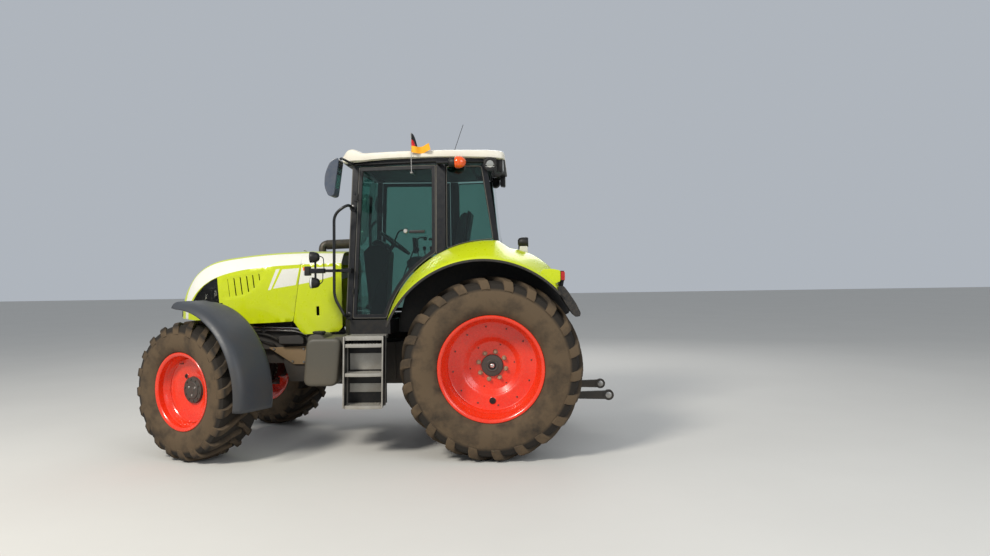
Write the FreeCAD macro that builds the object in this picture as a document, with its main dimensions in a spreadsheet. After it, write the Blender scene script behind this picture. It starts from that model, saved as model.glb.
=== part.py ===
import FreeCAD, Part
import math
import os
from types import SimpleNamespace
import Sketcher

# Farm tractor, four-wheel drive, with its front wheels turned to the right as it stands.
# Millimetres. +X is forwards, +Y is left, +Z is up, and the ground is z = 0.
# Every piece is drawn from the rear axle (x = 0) and the middle of the tractor (y = 0), then moved
# so that the origin lies on the ground under the middle of the space that it takes up.

Vector = FreeCAD.Vector
doc = FreeCAD.newDocument("tractor")
sheet = doc.addObject("Spreadsheet::Sheet", "Sizes")

# Driving dimensions: name, millimetres or degrees
SIZES = [
    ("frame_shift", -1176.6),
    ("side_shift", -59.8),
    # Wheels
    ("wheelbase", 2800),
    ("steer_angle", 28),
    ("kingpin_y", 720),
    ("rear_track_half", 940),
    ("front_track_half", 940),
    ("rear_radius", 872.5),
    ("rear_width", 600),
    ("rear_bead_radius", 483),
    ("rear_rim_width", 490),
    ("rear_disc_depth", 330),
    ("front_radius", 677.5),
    ("front_width", 480),
    ("front_bead_radius", 356),
    ("front_rim_width", 414),
    ("front_disc_depth", 162),
    ("flange_height", 25),
    ("rim_wall", 12),
    ("tyre_wall", 28),
    ("fit_gap", 0.3),
    ("drum_end", 193),
    # Driveline
    ("gearbox_half", 250),
    ("gearbox_low", 560),
    ("gearbox_high", 1130),
    ("engine_half", 240),
    ("engine_rear", 1700),
    ("engine_ahead", 100),
    ("engine_high", 1640),
    ("support_half", 170),
    ("support_low", 860),
    ("support_high", 1000),
    ("support_ahead", 600),
    ("axle_tube", 75),
    ("diff_radius", 175),
    ("rear_tube", 120),
    ("rear_tube_end", 735),
    # Hood and cowl
    ("hood_rear", 2040),
    ("nose_ahead", 552),
    ("seam_low_x", 2100),
    ("hood_wall", 8),
    ("hood_pivot_x", 2037),
    ("hood_pivot_z", 2052),
    ("cowl_rear", 1565),
    # Cab
    ("post_x", 504),
    ("sill_z", 1340),
    ("cab_half", 850),
    ("cab_lean", 3.4),
    ("front_toe", 5.5),
    ("rear_toe", 6),
    ("door_high", 2868),
    ("door_front_low", 1398),
    ("door_front_high", 1336),
    ("door_rear", 548),
    ("door_thick", 30),
    ("door_frame", 38),
    ("post_wide", 55),
    ("post_deep", 60),
    ("pane", 5),
    ("hinge_play", 3),
    ("hinge_out", 10),
    ("floor_low", 1190),
    ("floor_high", 1330),
    ("roof_low", 2930),
    # Rear mudguards: two arcs, the cab-side one and the outer one
    ("guard_in_x", 21),
    ("guard_in_z", 1059),
    ("guard_in_radius", 1041),
    ("guard_out_x", 69),
    ("guard_out_z", 932),
    ("guard_out_radius", 979),
    ("guard_in_y", 860),
    ("guard_wall_y", 600),
    ("guard_out_y", 1250),
    ("guard_sheet", 10),
    # Front mudguards
    ("front_guard_radius", 860),
    ("front_guard_lip", 810),
    ("front_guard_in", 50),
    ("front_guard_out", 480),
    # Rear linkage
    ("link_pivot_x", -230),
    ("link_pivot_z", 500),
    ("link_length", 950),
    ("arm_length", 400),
    ("arm_pivot_x", -190),
    ("arm_pivot_z", 1110),
]

SIDES = [("left", 1), ("right", -1)]


class Size:
    """A number worked out from the sheet, with the expression that binds it there."""

    def __init__(self, value, text):
        self.value = value
        self.text = text

    def __add__(self, other):
        return joined(self, "+", other)

    def __radd__(self, other):
        return joined(other, "+", self)

    def __sub__(self, other):
        return joined(self, "-", other)

    def __rsub__(self, other):
        return joined(other, "-", self)

    def __mul__(self, other):
        return joined(self, "*", other)

    def __rmul__(self, other):
        return joined(other, "*", self)

    def __truediv__(self, other):
        return joined(self, "/", other)

    def __neg__(self):
        return joined(-1, "*", self)


def as_size(number):
    """Any number as a Size, so that code can mix both."""
    if isinstance(number, Size):
        return number
    return Size(float(number), f"({float(number)})")


def joined(left, sign, right):
    """The Size that two others make with one sign of arithmetic."""
    left = as_size(left)
    right = as_size(right)
    results = {
        "+": left.value + right.value,
        "-": left.value - right.value,
        "*": left.value * right.value,
        "/": left.value / (right.value or 1),
    }
    return Size(results[sign], f"({left.text} {sign} {right.text})")


def cosine(angle):
    """The cosine of an angle in degrees, as a Size."""
    angle = as_size(angle)
    return Size(math.cos(math.radians(angle.value)), f"cos({angle.text} * 1 deg)")


def sine(angle):
    """The sine of an angle in degrees, as a Size."""
    angle = as_size(angle)
    return Size(math.sin(math.radians(angle.value)), f"sin({angle.text} * 1 deg)")


def tie(thing, name, size):
    """Binds one property of an object to the sheet."""
    thing.setExpression(name, as_size(size).text)


for row, (alias, number) in enumerate(SIZES, start=1):
    sheet.set(f"A{row}", alias)
    sheet.set(f"B{row}", str(number))
    sheet.setAlias(f"B{row}", alias)
doc.recompute()
S = SimpleNamespace(**{alias: Size(float(sheet.get(alias)), f"Sizes.{alias}") for alias, number in SIZES})
S.engine_front = S.wheelbase + S.engine_ahead
S.support_front = S.wheelbase + S.support_ahead
S.engine_step = S.wheelbase - 540
S.nose = S.wheelbase + S.nose_ahead
nodes = []


def place(thing, x=0, y=0, z=0, turn=None):
    """Puts a piece in the tractor's frame, turned about its own origin if asked."""
    angle, axis = turn or (0, Vector(0, 0, 1))
    thing.Placement = FreeCAD.Placement(Vector(0, 0, 0), FreeCAD.Rotation(axis, as_size(angle).value))
    tie(thing, "Placement.Base.x", S.frame_shift + x)
    tie(thing, "Placement.Base.y", S.side_shift + y)
    tie(thing, "Placement.Base.z", z)
    return thing


def new_body(label):
    """An empty body with its label."""
    body = doc.addObject("PartDesign::Body", label)
    body.Label = label
    return body


def finished(thing, label, x=0, y=0, z=0, turn=None):
    """Names a piece, places it and lists it among the nodes."""
    thing.Label = label
    place(thing, x, y, z, turn)
    nodes.append(thing)
    return thing


def new_sketch(body, name, plane, offset):
    """A sketch on one of the body's own planes, moved along that plane's normal."""
    sketch = body.newObject("Sketcher::SketchObject", name)
    own_plane = [item for item in body.Origin.OriginFeatures if item.Role == f"{plane}_Plane"][0]
    sketch.AttachmentSupport = [(own_plane, "")]
    sketch.MapMode = "FlatFace"
    sketch.AttachmentOffset = FreeCAD.Placement(Vector(0, 0, as_size(offset).value), FreeCAD.Rotation())
    tie(sketch, "AttachmentOffset.Base.z", offset)
    return sketch


def pin_point(sketch, geometry, point, across, up):
    """Fixes a sketch point by its two distances from the origin."""
    for kind, size in (("DistanceX", as_size(across)), ("DistanceY", as_size(up))):
        index = sketch.addConstraint(Sketcher.Constraint(kind, -1, 1, geometry, point, size.value))
        if "Sizes" in size.text:
            sketch.setExpression(f"Constraints[{index}]", size.text)


def add_loop(sketch, corners):
    """Draws a closed outline of straight lines through its corners."""
    first = sketch.GeometryCount
    count = len(corners)
    spots = [Vector(as_size(across).value, as_size(up).value, 0) for across, up in corners]
    for index in range(count):
        sketch.addGeometry(Part.LineSegment(spots[index], spots[(index + 1) % count]), False)
    for index in range(count):
        following = first + (index + 1) % count
        sketch.addConstraint(Sketcher.Constraint("Coincident", first + index, 2, following, 1))
    for index, (across, up) in enumerate(corners):
        pin_point(sketch, first + index, 1, across, up)


def add_circle(sketch, across, up, radius):
    """Draws a circle."""
    centre = Vector(as_size(across).value, as_size(up).value, 0)
    index = sketch.addGeometry(Part.Circle(centre, Vector(0, 0, 1), as_size(radius).value), False)
    pin_point(sketch, index, 3, across, up)
    rule = sketch.addConstraint(Sketcher.Constraint("Radius", index, as_size(radius).value))
    if "Sizes" in as_size(radius).text:
        sketch.setExpression(f"Constraints[{rule}]", as_size(radius).text)


def along(plane, start, end):
    """Where a sketch lies so that a pad of it fills start to end: the XZ plane faces -Y."""
    return -as_size(end) if plane == "XZ" else as_size(start)


def feature(body, kind, name, sketch, length):
    """A pad or pocket of a sketch."""
    made = body.newObject(f"PartDesign::{kind}", name)
    made.Profile = sketch
    made.Length = as_size(length).value
    tie(made, "Length", length)
    return made


def slab(body, name, plane, outlines, start, end):
    """Pads closed outlines from start to end along the plane's normal."""
    sketch = new_sketch(body, f"{name}_outline", plane, along(plane, start, end))
    for corners in outlines:
        add_loop(sketch, corners)
    return feature(body, "Pad", name, sketch, as_size(end) - start)


def cut(body, name, plane, outlines, start, end):
    """Cuts closed outlines from start to end along the plane's normal."""
    sketch = new_sketch(body, f"{name}_outline", plane, along(plane, start, end))
    for corners in outlines:
        add_loop(sketch, corners)
    made = feature(body, "Pocket", name, sketch, as_size(end) - start)
    made.Reversed = True
    return made


def rod(body, name, plane, across, up, radius, start, end):
    """Pads a circle from start to end along the plane's normal."""
    sketch = new_sketch(body, f"{name}_outline", plane, along(plane, start, end))
    add_circle(sketch, across, up, radius)
    return feature(body, "Pad", name, sketch, as_size(end) - start)


def drill(body, name, plane, across, up, radius, start, end):
    """Cuts a round hole from start to end along the plane's normal."""
    sketch = new_sketch(body, f"{name}_outline", plane, along(plane, start, end))
    add_circle(sketch, across, up, radius)
    made = feature(body, "Pocket", name, sketch, as_size(end) - start)
    made.Reversed = True
    return made


def turned(body, name, corners, angle=360):
    """Revolves an outline of (radius, y) corners about the body's Y axis."""
    sketch = new_sketch(body, f"{name}_outline", "XY", 0)
    add_loop(sketch, corners)
    made = body.newObject("PartDesign::Revolution", name)
    made.Profile = sketch
    made.ReferenceAxis = (sketch, ["V_Axis"])
    made.Angle = angle
    return made


def rectangle(low_x, low_z, high_x, high_z):
    """The four corners of a rectangle."""
    return [(low_x, low_z), (high_x, low_z), (high_x, high_z), (low_x, high_z)]


def between(side, low, high):
    """A stretch across the tractor on one side, lower number first."""
    return (low, high) if side > 0 else (-as_size(high), -as_size(low))


def box(body, name, side, low, high):
    """A block from its two corners (x, y, z), y counted outwards from the middle."""
    start, end = between(side, low[1], high[1])
    return slab(body, name, "XZ", [rectangle(low[0], low[2], high[0], high[2])], start, end)


def bent_tube(name, points, radius, bend):
    """A round bar along straight runs joined by arcs, from points in the rear axle's frame."""
    spots = [Vector(*[as_size(number).value for number in point]) for point in points]
    edges = []
    start = spots[0]
    for before, corner, after in zip(spots, spots[1:], spots[2:]):
        back = (before - corner).normalize()
        ahead = (after - corner).normalize()
        half = back.getAngle(ahead) / 2
        reach = bend / math.tan(half)
        middle = (back + ahead).normalize() * (bend / math.sin(half) - bend)
        arc = Part.Arc(corner + back * reach, corner + middle, corner + ahead * reach)
        edges.append(Part.LineSegment(start, corner + back * reach).toShape())
        edges.append(arc.toShape())
        start = corner + ahead * reach
    edges.append(Part.LineSegment(start, spots[-1]).toShape())
    path = Part.Wire(edges)
    ring = Part.Wire(Part.makeCircle(radius, spots[0], spots[1] - spots[0]))
    tube = doc.addObject("Part::Feature", name)
    tube.Shape = path.makePipeShell([ring], True, False)
    return tube


def bundle(name, pieces):
    """Pieces of one node that don't touch each other."""
    group = doc.addObject("Part::Compound", name)
    group.Links = pieces
    return group


def fused(name, pieces):
    """Pieces of one node that are welded together."""
    group = doc.addObject("Part::MultiFuse", name)
    group.Shapes = pieces
    return group


# Wheels

# Treads: lugs on each half of the tyre, their height and width, the angle that a lug sweeps back
# from the middle of the tyre to its shoulder, and how far its end reaches down the sidewall
TREADS = {
    "rear": SimpleNamespace(count=22, high=46, wide=70, sweep=14, end=142),
    "front": SimpleNamespace(count=20, high=40, wide=62, sweep=15, end=112),
}


def round_axle(radius, y, angle):
    """A spot round a wheel's axis, its angle counted from the top forwards."""
    turn = math.radians(angle)
    return Vector(radius * math.sin(turn), y, radius * math.cos(turn))


def flat_ring(outline, count):
    """A ring about the wheel's axis in flats, from an outline of (radius, y) corners."""
    rounds = [[round_axle(radius, y, 360 * step / count) for radius, y in outline] for step in range(count)]
    faces = []
    for near, far in zip(rounds, rounds[1:] + rounds[:1]):
        for index in range(len(outline)):
            after = (index + 1) % len(outline)
            corners = [near[index], near[after], far[after], far[index]]
            faces.append(Part.Face(Part.makePolygon(corners + corners[:1])))
    ring = Part.makeSolid(Part.makeShell(faces))
    if ring.Volume < 0:
        ring.reverse()
    return ring


def tyre_lug(radius, half, tread, middle, side, angle):
    """One lug: a bar from the middle of the tread back to its shoulder and down the sidewall."""
    sweep = math.radians(tread.sweep / 2) + tread.wide / 2 / radius
    flat = radius * math.cos(sweep)
    reach = radius * math.sin(sweep) - tread.wide / 2
    near = 8
    shoulder = half * 0.84
    wall = half * 0.972

    def spot(y, up):
        share = (y - near) / (shoulder - near)
        return Vector(reach * (1 - 2 * share) - tread.wide / 2, middle + y * side, up)

    corners = [
        spot(near, flat),
        spot(shoulder, flat - 8),
        spot(wall, flat + 8 - tread.end),
        spot(near, radius - tread.high - 50),
    ]
    lug = Part.Face(Part.makePolygon(corners + corners[:1])).extrude(Vector(tread.wide, 0, 0))
    lug.rotate(Vector(0, 0, 0), Vector(0, 1, 0), angle)
    return lug


def tyre(label, side, radius, bead, width, rim_width, middle, tread):
    """A tyre about the wheel's axis with its lugs, open to the rim inside, beads between the flanges."""
    half = width.value / 2
    height = (radius - bead).value
    floor = radius.value - tread.high
    seat = (rim_width / 2 - S.rim_wall - S.fit_gap).value
    wider = 1 / math.cos(math.pi / tread.count)
    outer = [
        ((bead + S.fit_gap).value * wider, seat),
        ((bead + S.flange_height + 4).value * wider, seat),
        (bead.value + height * 0.24, half * 0.94),
        (bead.value + height * 0.60, half),
        (floor - 10, half * 0.74),
    ]
    outline = outer + [(r, -y) for r, y in reversed(outer)] + [(floor - 30, 0)]
    ring = flat_ring([(r, middle.value + y * side) for r, y in outline], tread.count)
    pitch = 360 / tread.count
    tip = math.degrees(tread.wide / 2 / radius.value)
    lugs = []
    for share, half_side in ((0.5, side), (0, -side)):
        for index in range(tread.count):
            angle = 180 - tread.sweep / 2 - tip + pitch * (index + share)
            lugs.append(tyre_lug(radius.value, half, tread, middle.value, half_side, angle))
    whole = doc.addObject("Part::Feature", label)
    whole.Shape = ring.multiFuse(lugs).removeSplitter().Solids[0]
    return whole


def rim(label, side, bead, width, depth, middle, hub_radius, hub_tip, hub_root):
    """A rim with its well and dished disc, and the hub that shows in its middle."""
    half = width / 2
    flange = bead + S.flange_height
    wall = S.rim_wall
    seat = half - 75
    well = bead - 34
    outer = [(flange, half), (flange, half - wall), (bead, half - wall), (bead, seat), (well, seat - 40)]
    inner = [(flange - wall, half), (bead - wall, half - wall), (bead - wall, seat - 8), (well - wall, seat - 48)]
    up = [(r, middle + y * side) for r, y in outer]
    down = [(r, middle - y * side) for r, y in reversed(outer)]
    back = [(r, middle - y * side) for r, y in inner]
    forth = [(r, middle + y * side) for r, y in reversed(inner)]
    body = new_body(label)
    turned(body, f"{label}_barrel", up + down + back + forth)
    face = half - depth
    step = face + depth * 0.14
    dish = [
        (0, face),
        (bead * 0.46, face),
        (bead * 0.60, step),
        (well - wall * 0.5, step),
        (well - wall * 0.5, step - wall),
        (bead * 0.58, step - wall),
        (bead * 0.44, face - wall),
        (0, face - wall),
    ]
    turned(body, f"{label}_disc", [(r, middle + y * side) for r, y in dish])
    hub = [
        (0, face - wall - hub_root),
        (hub_radius * 1.3, face - wall - hub_root),
        (hub_radius * 1.3, face - wall * 0.5),
        (hub_radius, face - wall * 0.5),
        (hub_radius, face + hub_tip),
        (0, face + hub_tip),
    ]
    turned(body, f"{label}_hub", [(r, middle + y * side) for r, y in hub])
    return body


def rear_wheels():
    """Rear tyres and rims, turning about the rear axle."""
    face = S.rear_rim_width / 2 - S.rear_disc_depth
    root = S.rear_track_half + face - S.rim_wall - S.rear_tube_end - S.fit_gap
    for name, side in SIDES:
        middle = S.rear_track_half * side
        piece = tyre(
            f"{name}_rear_tyre",
            side,
            S.rear_radius,
            S.rear_bead_radius,
            S.rear_width,
            S.rear_rim_width,
            middle,
            TREADS["rear"],
        )
        finished(piece, f"{name}_rear_tyre", 0, 0, S.rear_radius)
        piece = rim(
            f"{name}_rear_rim", side, S.rear_bead_radius, S.rear_rim_width, S.rear_disc_depth, middle, 106, 24, root
        )
        finished(piece, f"{name}_rear_rim", 0, 0, S.rear_radius)


def on_kingpin(piece, label, side):
    """Places a piece that turns with a front wheel, at the angle at which the tractor stands."""
    turn = (-S.steer_angle, Vector(0, 0, 1))
    return finished(piece, label, S.wheelbase, S.kingpin_y * side, S.front_radius, turn)


def front_wheels():
    """Front tyres and rims, drawn from the kingpin and turned with it."""
    face = S.front_rim_width / 2 - S.front_disc_depth
    root = S.front_track_half - S.kingpin_y + face - S.rim_wall - S.drum_end - S.fit_gap
    for name, side in SIDES:
        middle = (S.front_track_half - S.kingpin_y) * side
        piece = tyre(
            f"{name}_front_tyre",
            side,
            S.front_radius,
            S.front_bead_radius,
            S.front_width,
            S.front_rim_width,
            middle,
            TREADS["front"],
        )
        on_kingpin(piece, f"{name}_front_tyre", side)
        piece = rim(
            f"{name}_front_rim", side, S.front_bead_radius, S.front_rim_width, S.front_disc_depth, middle, 130, 20, root
        )
        on_kingpin(piece, f"{name}_front_rim", side)


# Front axle and steering

def front_axle():
    """The beam with its drive housing, kingpin eyes and the pins it rocks on."""
    body = new_body("front_axle")
    arm = S.kingpin_y - 60
    profile = [(0, -arm), (S.axle_tube, -arm), (S.axle_tube, -250), (110, -200), (S.diff_radius, -110)]
    profile += [(radius, -y) for radius, y in reversed(profile)]
    turned(body, "axle_beam", profile)
    for name, side in SIDES:
        rod(body, f"{name}_eye", "XY", 0, S.kingpin_y * side, 68, -128, 128)
        rod(body, f"{name}_kingpin", "XY", 0, S.kingpin_y * side, 40, -134.7, 134.7)
    rod(body, "rocking_pin", "YZ", 0, 0, 60, -240, 240)
    ring = new_sketch(body, "cylinder_saddle_outline", "XZ", along("XZ", 200, 235))
    add_circle(ring, 155, -125, 46)
    feature(body, "Pad", "cylinder_saddle", ring, 35)
    slab(body, "saddle_web", "XZ", [[(20, 20), (20, -60), (130, -160), (185, -100)]], 200, 235)
    drill(body, "saddle_bore", "XZ", 155, -125, 32.3, 195, 240)
    finished(body, "front_axle", S.wheelbase, 0, S.front_radius)


def swivels():
    """The housings that turn on the kingpins and carry the front hubs."""
    for name, side in SIDES:
        label = f"{name}_swivel"
        body = new_body(label)
        cheeks = [(-65, 135), (-65, 175), (105, 175), (145, 135), (145, -135), (105, -175), (-65, -175), (-65, -135)]
        cheeks += [(82, -135), (82, 135)]
        slab(body, f"{label}_yoke", "YZ", [[(y * side, z) for y, z in cheeks]], -65, 65)
        start, end = between(side, 85, S.drum_end)
        rod(body, f"{label}_drum", "XZ", 0, 0, 120, start, end)
        arm = [(-50, -45), (-205, -32), (-238, 0), (-205, 32), (-50, 45)]
        slab(body, f"{label}_rear_arm", "XY", [arm], -175, -150)
        if side > 0:
            front_arm = [(50, -45), (165, -30), (195, 0), (165, 30), (50, 45)]
            slab(body, f"{label}_front_arm", "XY", [front_arm], -175, -150)
        top = S.front_guard_radius - 21
        low, high = between(side, -65, -35)
        slab(body, f"{label}_guard_post", "XZ", [rectangle(-30, 160, 30, top)], low, high)
        low, high = between(side, -65, S.front_guard_out - 120)
        slab(body, f"{label}_guard_bar", "XZ", [rectangle(-30, top - 30, 30, top)], low, high)
        low, high = between(side, S.front_guard_in + 90, S.front_guard_out - 120)
        slab(body, f"{label}_guard_pad", "XZ", [rectangle(-30, top, 30, top + 12.2)], low, high)
        on_kingpin(body, label, side)


def front_guards():
    """Mudguards that turn with the front wheels: a crowned sheet over the tyre."""
    for name, side in SIDES:
        label = f"{name}_front_guard"
        body = new_body(label)
        crown = S.front_guard_radius
        lip = S.front_guard_lip
        sheet_wall = 8
        top = [
            (crown - 12, S.front_guard_in),
            (crown, S.front_guard_in + 60),
            (crown, S.front_guard_out - 90),
            (crown - 18, S.front_guard_out - 30),
            (lip, S.front_guard_out),
        ]
        under = [(radius - sheet_wall, y - sheet_wall * (index > 2)) for index, (radius, y) in enumerate(top)]
        outline = [(r, y * side) for r, y in top + list(reversed(under))]
        turned(body, f"{label}_sheet", outline, 104)
        on_kingpin(body, label, side)
        # The sweep starts behind the wheel, a little below its axle, and goes forwards over it
        start = FreeCAD.Rotation(Vector(0, 1, 0), 171)
        body.Placement = FreeCAD.Placement(body.Placement.Base, body.Placement.Rotation.multiply(start))


def steering():
    """The tie rod between both rear arms, and the cylinder that turns the left swivel."""
    reach = 205
    drop = -125
    across = -(reach * cosine(S.steer_angle))
    aside = reach * sine(S.steer_angle)
    body = new_body("tie_rod")
    rod(body, "tie_bar", "XZ", 0, drop, 16, -S.kingpin_y, S.kingpin_y)
    for name, side in SIDES:
        rod(body, f"{name}_tie_end", "XY", 0, S.kingpin_y * side, 26, drop - 24.7, drop + 24)
    finished(body, "tie_rod", S.wheelbase + across, aside, S.front_radius)
    barrel = new_body("steering_cylinder")
    rod(barrel, "cylinder_tube", "XZ", 155, drop, 32, 200, 460)
    drill(barrel, "cylinder_bore", "XZ", 155, drop, 14.8, 212, 461)
    finished(barrel, "steering_cylinder", S.wheelbase, 0, S.front_radius)
    eye_y = S.kingpin_y - 165 * sine(S.steer_angle)
    plunger = new_body("steering_rod")
    rod(plunger, "rod_bar", "XZ", 155, drop, 14.5, eye_y - 395, eye_y)
    rod(plunger, "rod_eye", "XY", 155, eye_y, 26, drop - 24.7, drop + 24)
    finished(plunger, "steering_rod", S.wheelbase, 0, S.front_radius)


# Driveline

def driveline():
    """Gearbox with rear axle, axle tubes, engine, front support and radiator."""
    low = S.gearbox_low
    high = S.gearbox_high
    gearbox = new_body("gearbox")
    outline = [
        (-330, low + 60),
        (-250, low),
        (500, low),
        (640, low + 60),
        (S.engine_rear, low + 60),
        (S.engine_rear, high - 100),
        (900, high - 60),
        (350, high),
        (-330, high),
    ]
    slab(gearbox, "gearbox_case", "XZ", [outline], -S.gearbox_half, S.gearbox_half)
    finished(gearbox, "gearbox")
    tubes = new_body("rear_axle_tubes")
    for name, side in SIDES:
        middle = [
            (0, S.gearbox_half),
            (S.rear_tube + 50, S.gearbox_half),
            (S.rear_tube + 50, S.gearbox_half + 40),
            (S.rear_tube - 15, S.gearbox_half + 90),
            (S.rear_tube - 15, S.rear_tube_end - 40),
            (S.rear_tube + 20, S.rear_tube_end - 40),
            (S.rear_tube + 20, S.rear_tube_end),
            (0, S.rear_tube_end),
        ]
        turned(tubes, f"{name}_axle_tube", [(radius, y * side) for radius, y in middle])
    finished(tubes, "rear_axle_tubes", 0, 0, S.rear_radius)
    engine = new_body("engine_block")
    outline = [
        (S.engine_rear, low + 90),
        (S.engine_step - 60, low + 90),
        (S.engine_step, S.support_low - 20),
        (S.engine_step, S.support_high),
        (S.engine_front, S.support_high),
        (S.engine_front, S.engine_high),
        (S.engine_rear + 230, S.engine_high),
        (S.engine_rear, high + 20),
    ]
    slab(engine, "engine_mass", "XZ", [outline], -S.engine_half, S.engine_half)
    finished(engine, "engine_block")
    support = new_body("front_support")
    outline = [
        (S.engine_step, S.support_low - 20),
        (S.wheelbase - 260, S.support_low - 20),
        (S.wheelbase - 230, S.support_low + 15),
        (S.wheelbase + 180, S.support_low + 15),
        (S.wheelbase + 210, S.support_low - 60),
        (S.support_front, S.support_low - 60),
        (S.support_front, S.support_high - 40),
        (S.support_front - 60, S.support_high),
        (S.engine_step, S.support_high),
    ]
    slab(support, "support_casting", "XZ", [outline], -S.support_half, S.support_half)
    centre = S.front_radius
    for name, start in (("rear", S.wheelbase - 240), ("front", S.wheelbase + 200)):
        lug = [(-85, centre - 80), (85, centre - 80), (110, S.support_low + 20), (-110, S.support_low + 20)]
        slab(support, f"{name}_lug", "YZ", [lug], start, start + 40)
        drill(support, f"{name}_lug_bore", "YZ", 0, centre, 60.5, start - 1, start + 41)
    for name, side in SIDES:
        for z in (840, 920):
            drill(support, f"{name}_bolt_{z}", "YZ", 110 * side, z, 10.5, S.support_front - 60, S.support_front + 1)
    finished(support, "front_support")
    radiator = new_body("radiator")
    box(radiator, "radiator_core", 1, (S.engine_front + 60, -290, S.support_high), (S.engine_front + 170, 290, 1760))
    finished(radiator, "radiator")


# Hood and cowl

# Sections of the hood from its rear seam to its nose: distance from the seam on a hood of
# HOOD_LENGTH, half width at the bottom, bottom z, half width at the shoulder, shoulder z,
# half width of the top, top edge z, middle z
HOOD_LENGTH = 1312
HOOD_SECTIONS = [
    (0, 412, 1298, 428, 1893, 300, 2032, 2048),
    (632, 396, 1290, 412, 1830, 286, 1985, 2002),
    (915, 380, 1300, 396, 1760, 270, 1938, 1957),
    (1099, 360, 1312, 374, 1672, 250, 1832, 1853),
    (1234, 326, 1326, 338, 1560, 226, 1645, 1667),
    (1312, 284, 1338, 292, 1440, 196, 1505, 1519),
]


def down_hood(distance):
    """Where a spot of the hood lies: the hood stretches with the wheelbase, its seam stays."""
    return S.hood_rear + as_size(distance) * (S.nose - S.hood_rear) / HOOD_LENGTH


def hood_shape(corners):
    """Corners (distance from the seam, z) of an opening in the hood's side."""
    return [(down_hood(distance), z) for distance, z in corners]


def hood_outline(section, inset, drop):
    """One section of the hood as corners (y, z), shrunk inwards by inset."""
    low_half, low, side_half, shoulder, top_half, edge, middle = section[1:]
    half = [
        (low_half - inset, low - drop),
        (side_half - inset, shoulder - inset * 0.3),
        (top_half - inset * 0.5, edge - inset),
        (0, middle - inset),
    ]
    return half + [(-y, z) for y, z in reversed(half[:-1])]


def section_sketch(body, name, corners, x):
    """A section across the tractor at x."""
    sketch = body.newObject("Sketcher::SketchObject", name)
    own_plane = [item for item in body.Origin.OriginFeatures if item.Role == "YZ_Plane"][0]
    sketch.AttachmentSupport = [(own_plane, "")]
    sketch.MapMode = "FlatFace"
    sketch.AttachmentOffset = FreeCAD.Placement(Vector(0, 0, as_size(x).value), FreeCAD.Rotation())
    tie(sketch, "AttachmentOffset.Base.z", x)
    add_loop(sketch, corners)
    return sketch


def loft(body, kind, name, sketches):
    """A straight-sided loft through sketches, added or taken away."""
    made = body.newObject(f"PartDesign::{kind}Loft", name)
    made.Profile = sketches[0]
    made.Sections = sketches[1:]
    made.Ruled = True
    return made


def hood():
    """The hood: a lofted sheet with lamp windows in its sides and a grille in its nose."""
    body = new_body("hood")
    wall = S.hood_wall
    outside = [
        section_sketch(body, f"hood_outside_{index}", hood_outline(section, 0, 0), down_hood(section[0]))
        for index, section in enumerate(HOOD_SECTIONS)
    ]
    loft(body, "Additive", "hood_form", outside)
    inside = []
    for index, section in enumerate(HOOD_SECTIONS):
        x = down_hood(section[0]) + (-1 if index == 0 else 0)
        x = x - wall if index == len(HOOD_SECTIONS) - 1 else x
        inside.append(section_sketch(body, f"hood_inside_{index}", hood_outline(section, wall, 60), x))
    loft(body, "Subtractive", "hood_hollow", inside)
    seam = [(1900, 1200), (S.seam_low_x, 1200), (S.seam_low_x, 1298), (2041, 1680), (1900, 1680)]
    cut(body, "hood_seam", "XZ", [seam], -600, 600)
    window = hood_shape([(1125, 1500), (1045, 1655), (950, 1725), (860, 1765), (840, 1500)])
    slots = []
    for index in range(6):
        rear_z = 1854 - 28 * index
        front_z = 1770 - 45 * index
        slots.append(hood_shape([(390, rear_z - 6), (815, front_z - 9), (815, front_z + 9), (390, rear_z + 6)]))
    cut(body, "hood_windows", "XZ", [window] + slots, -600, 600)
    for name, side in SIDES:
        arm = [(2031, 2048), (2041.5, 2034), (2080, 2034), (2080, 2050), (2042, 2059), (2032, 2059), (2029, 2054)]
        low, high = between(side, 136, 184)
        slab(body, f"{name}_hinge_arm", "XZ", [arm], low, high)
        drill(body, f"{name}_hinge_bore", "XZ", S.hood_pivot_x, S.hood_pivot_z, 5.05, *between(side, 130, 190))
    mouth = [(-170, 1372), (170, 1372), (150, 1470), (-150, 1470)]
    cut(body, "hood_mouth", "YZ", [mouth], S.nose - 100, S.nose + 150)
    finished(body, "hood")


def hood_grille():
    """The dark liner behind the hood's openings."""
    body = new_body("hood_grille")
    gap = S.hood_wall + S.fit_gap
    wall = 8
    chosen = HOOD_SECTIONS[2:]
    outside = []
    inside = []
    last = len(chosen) - 1
    for index, section in enumerate(chosen):
        front = down_hood(section[0]) - (gap if index == last else 0)
        outside.append(section_sketch(body, f"liner_outside_{index}", hood_outline(section, gap, 0), front))
    loft(body, "Additive", "liner_form", outside)
    for index, section in enumerate(chosen):
        back = down_hood(section[0]) - (gap + wall if index == last else 1 if index == 0 else 0)
        inside.append(section_sketch(body, f"liner_inside_{index}", hood_outline(section, gap + wall, 60), back))
    loft(body, "Subtractive", "liner_hollow", inside)
    top = [(860, 1800), (1080, 1740), (1190, 1600), (1290, 1490), (1460, 1490), (1460, 2100), (860, 2100)]
    cut(body, "liner_top", "XZ", [hood_shape(top)], -600, 600)
    for index in range(3):
        z = 1392 + 25 * index
        box(body, f"mouth_slat_{index}", 1, (S.nose - 12, -140, z), (S.nose - 2, 140, z + 10))
    # Headlamps: distance from the seam, height, radius, how far in and how far out they reach
    for part, distance, z, radius, start, end in (("main", 935, 1600, 50, 350, 386), ("side", 1030, 1560, 32, 345, 376)):
        for name, side in SIDES:
            rod(body, f"{name}_{part}_lamp", "XZ", down_hood(distance), z, radius, *between(side, start, end))
    finished(body, "hood_grille")


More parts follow.
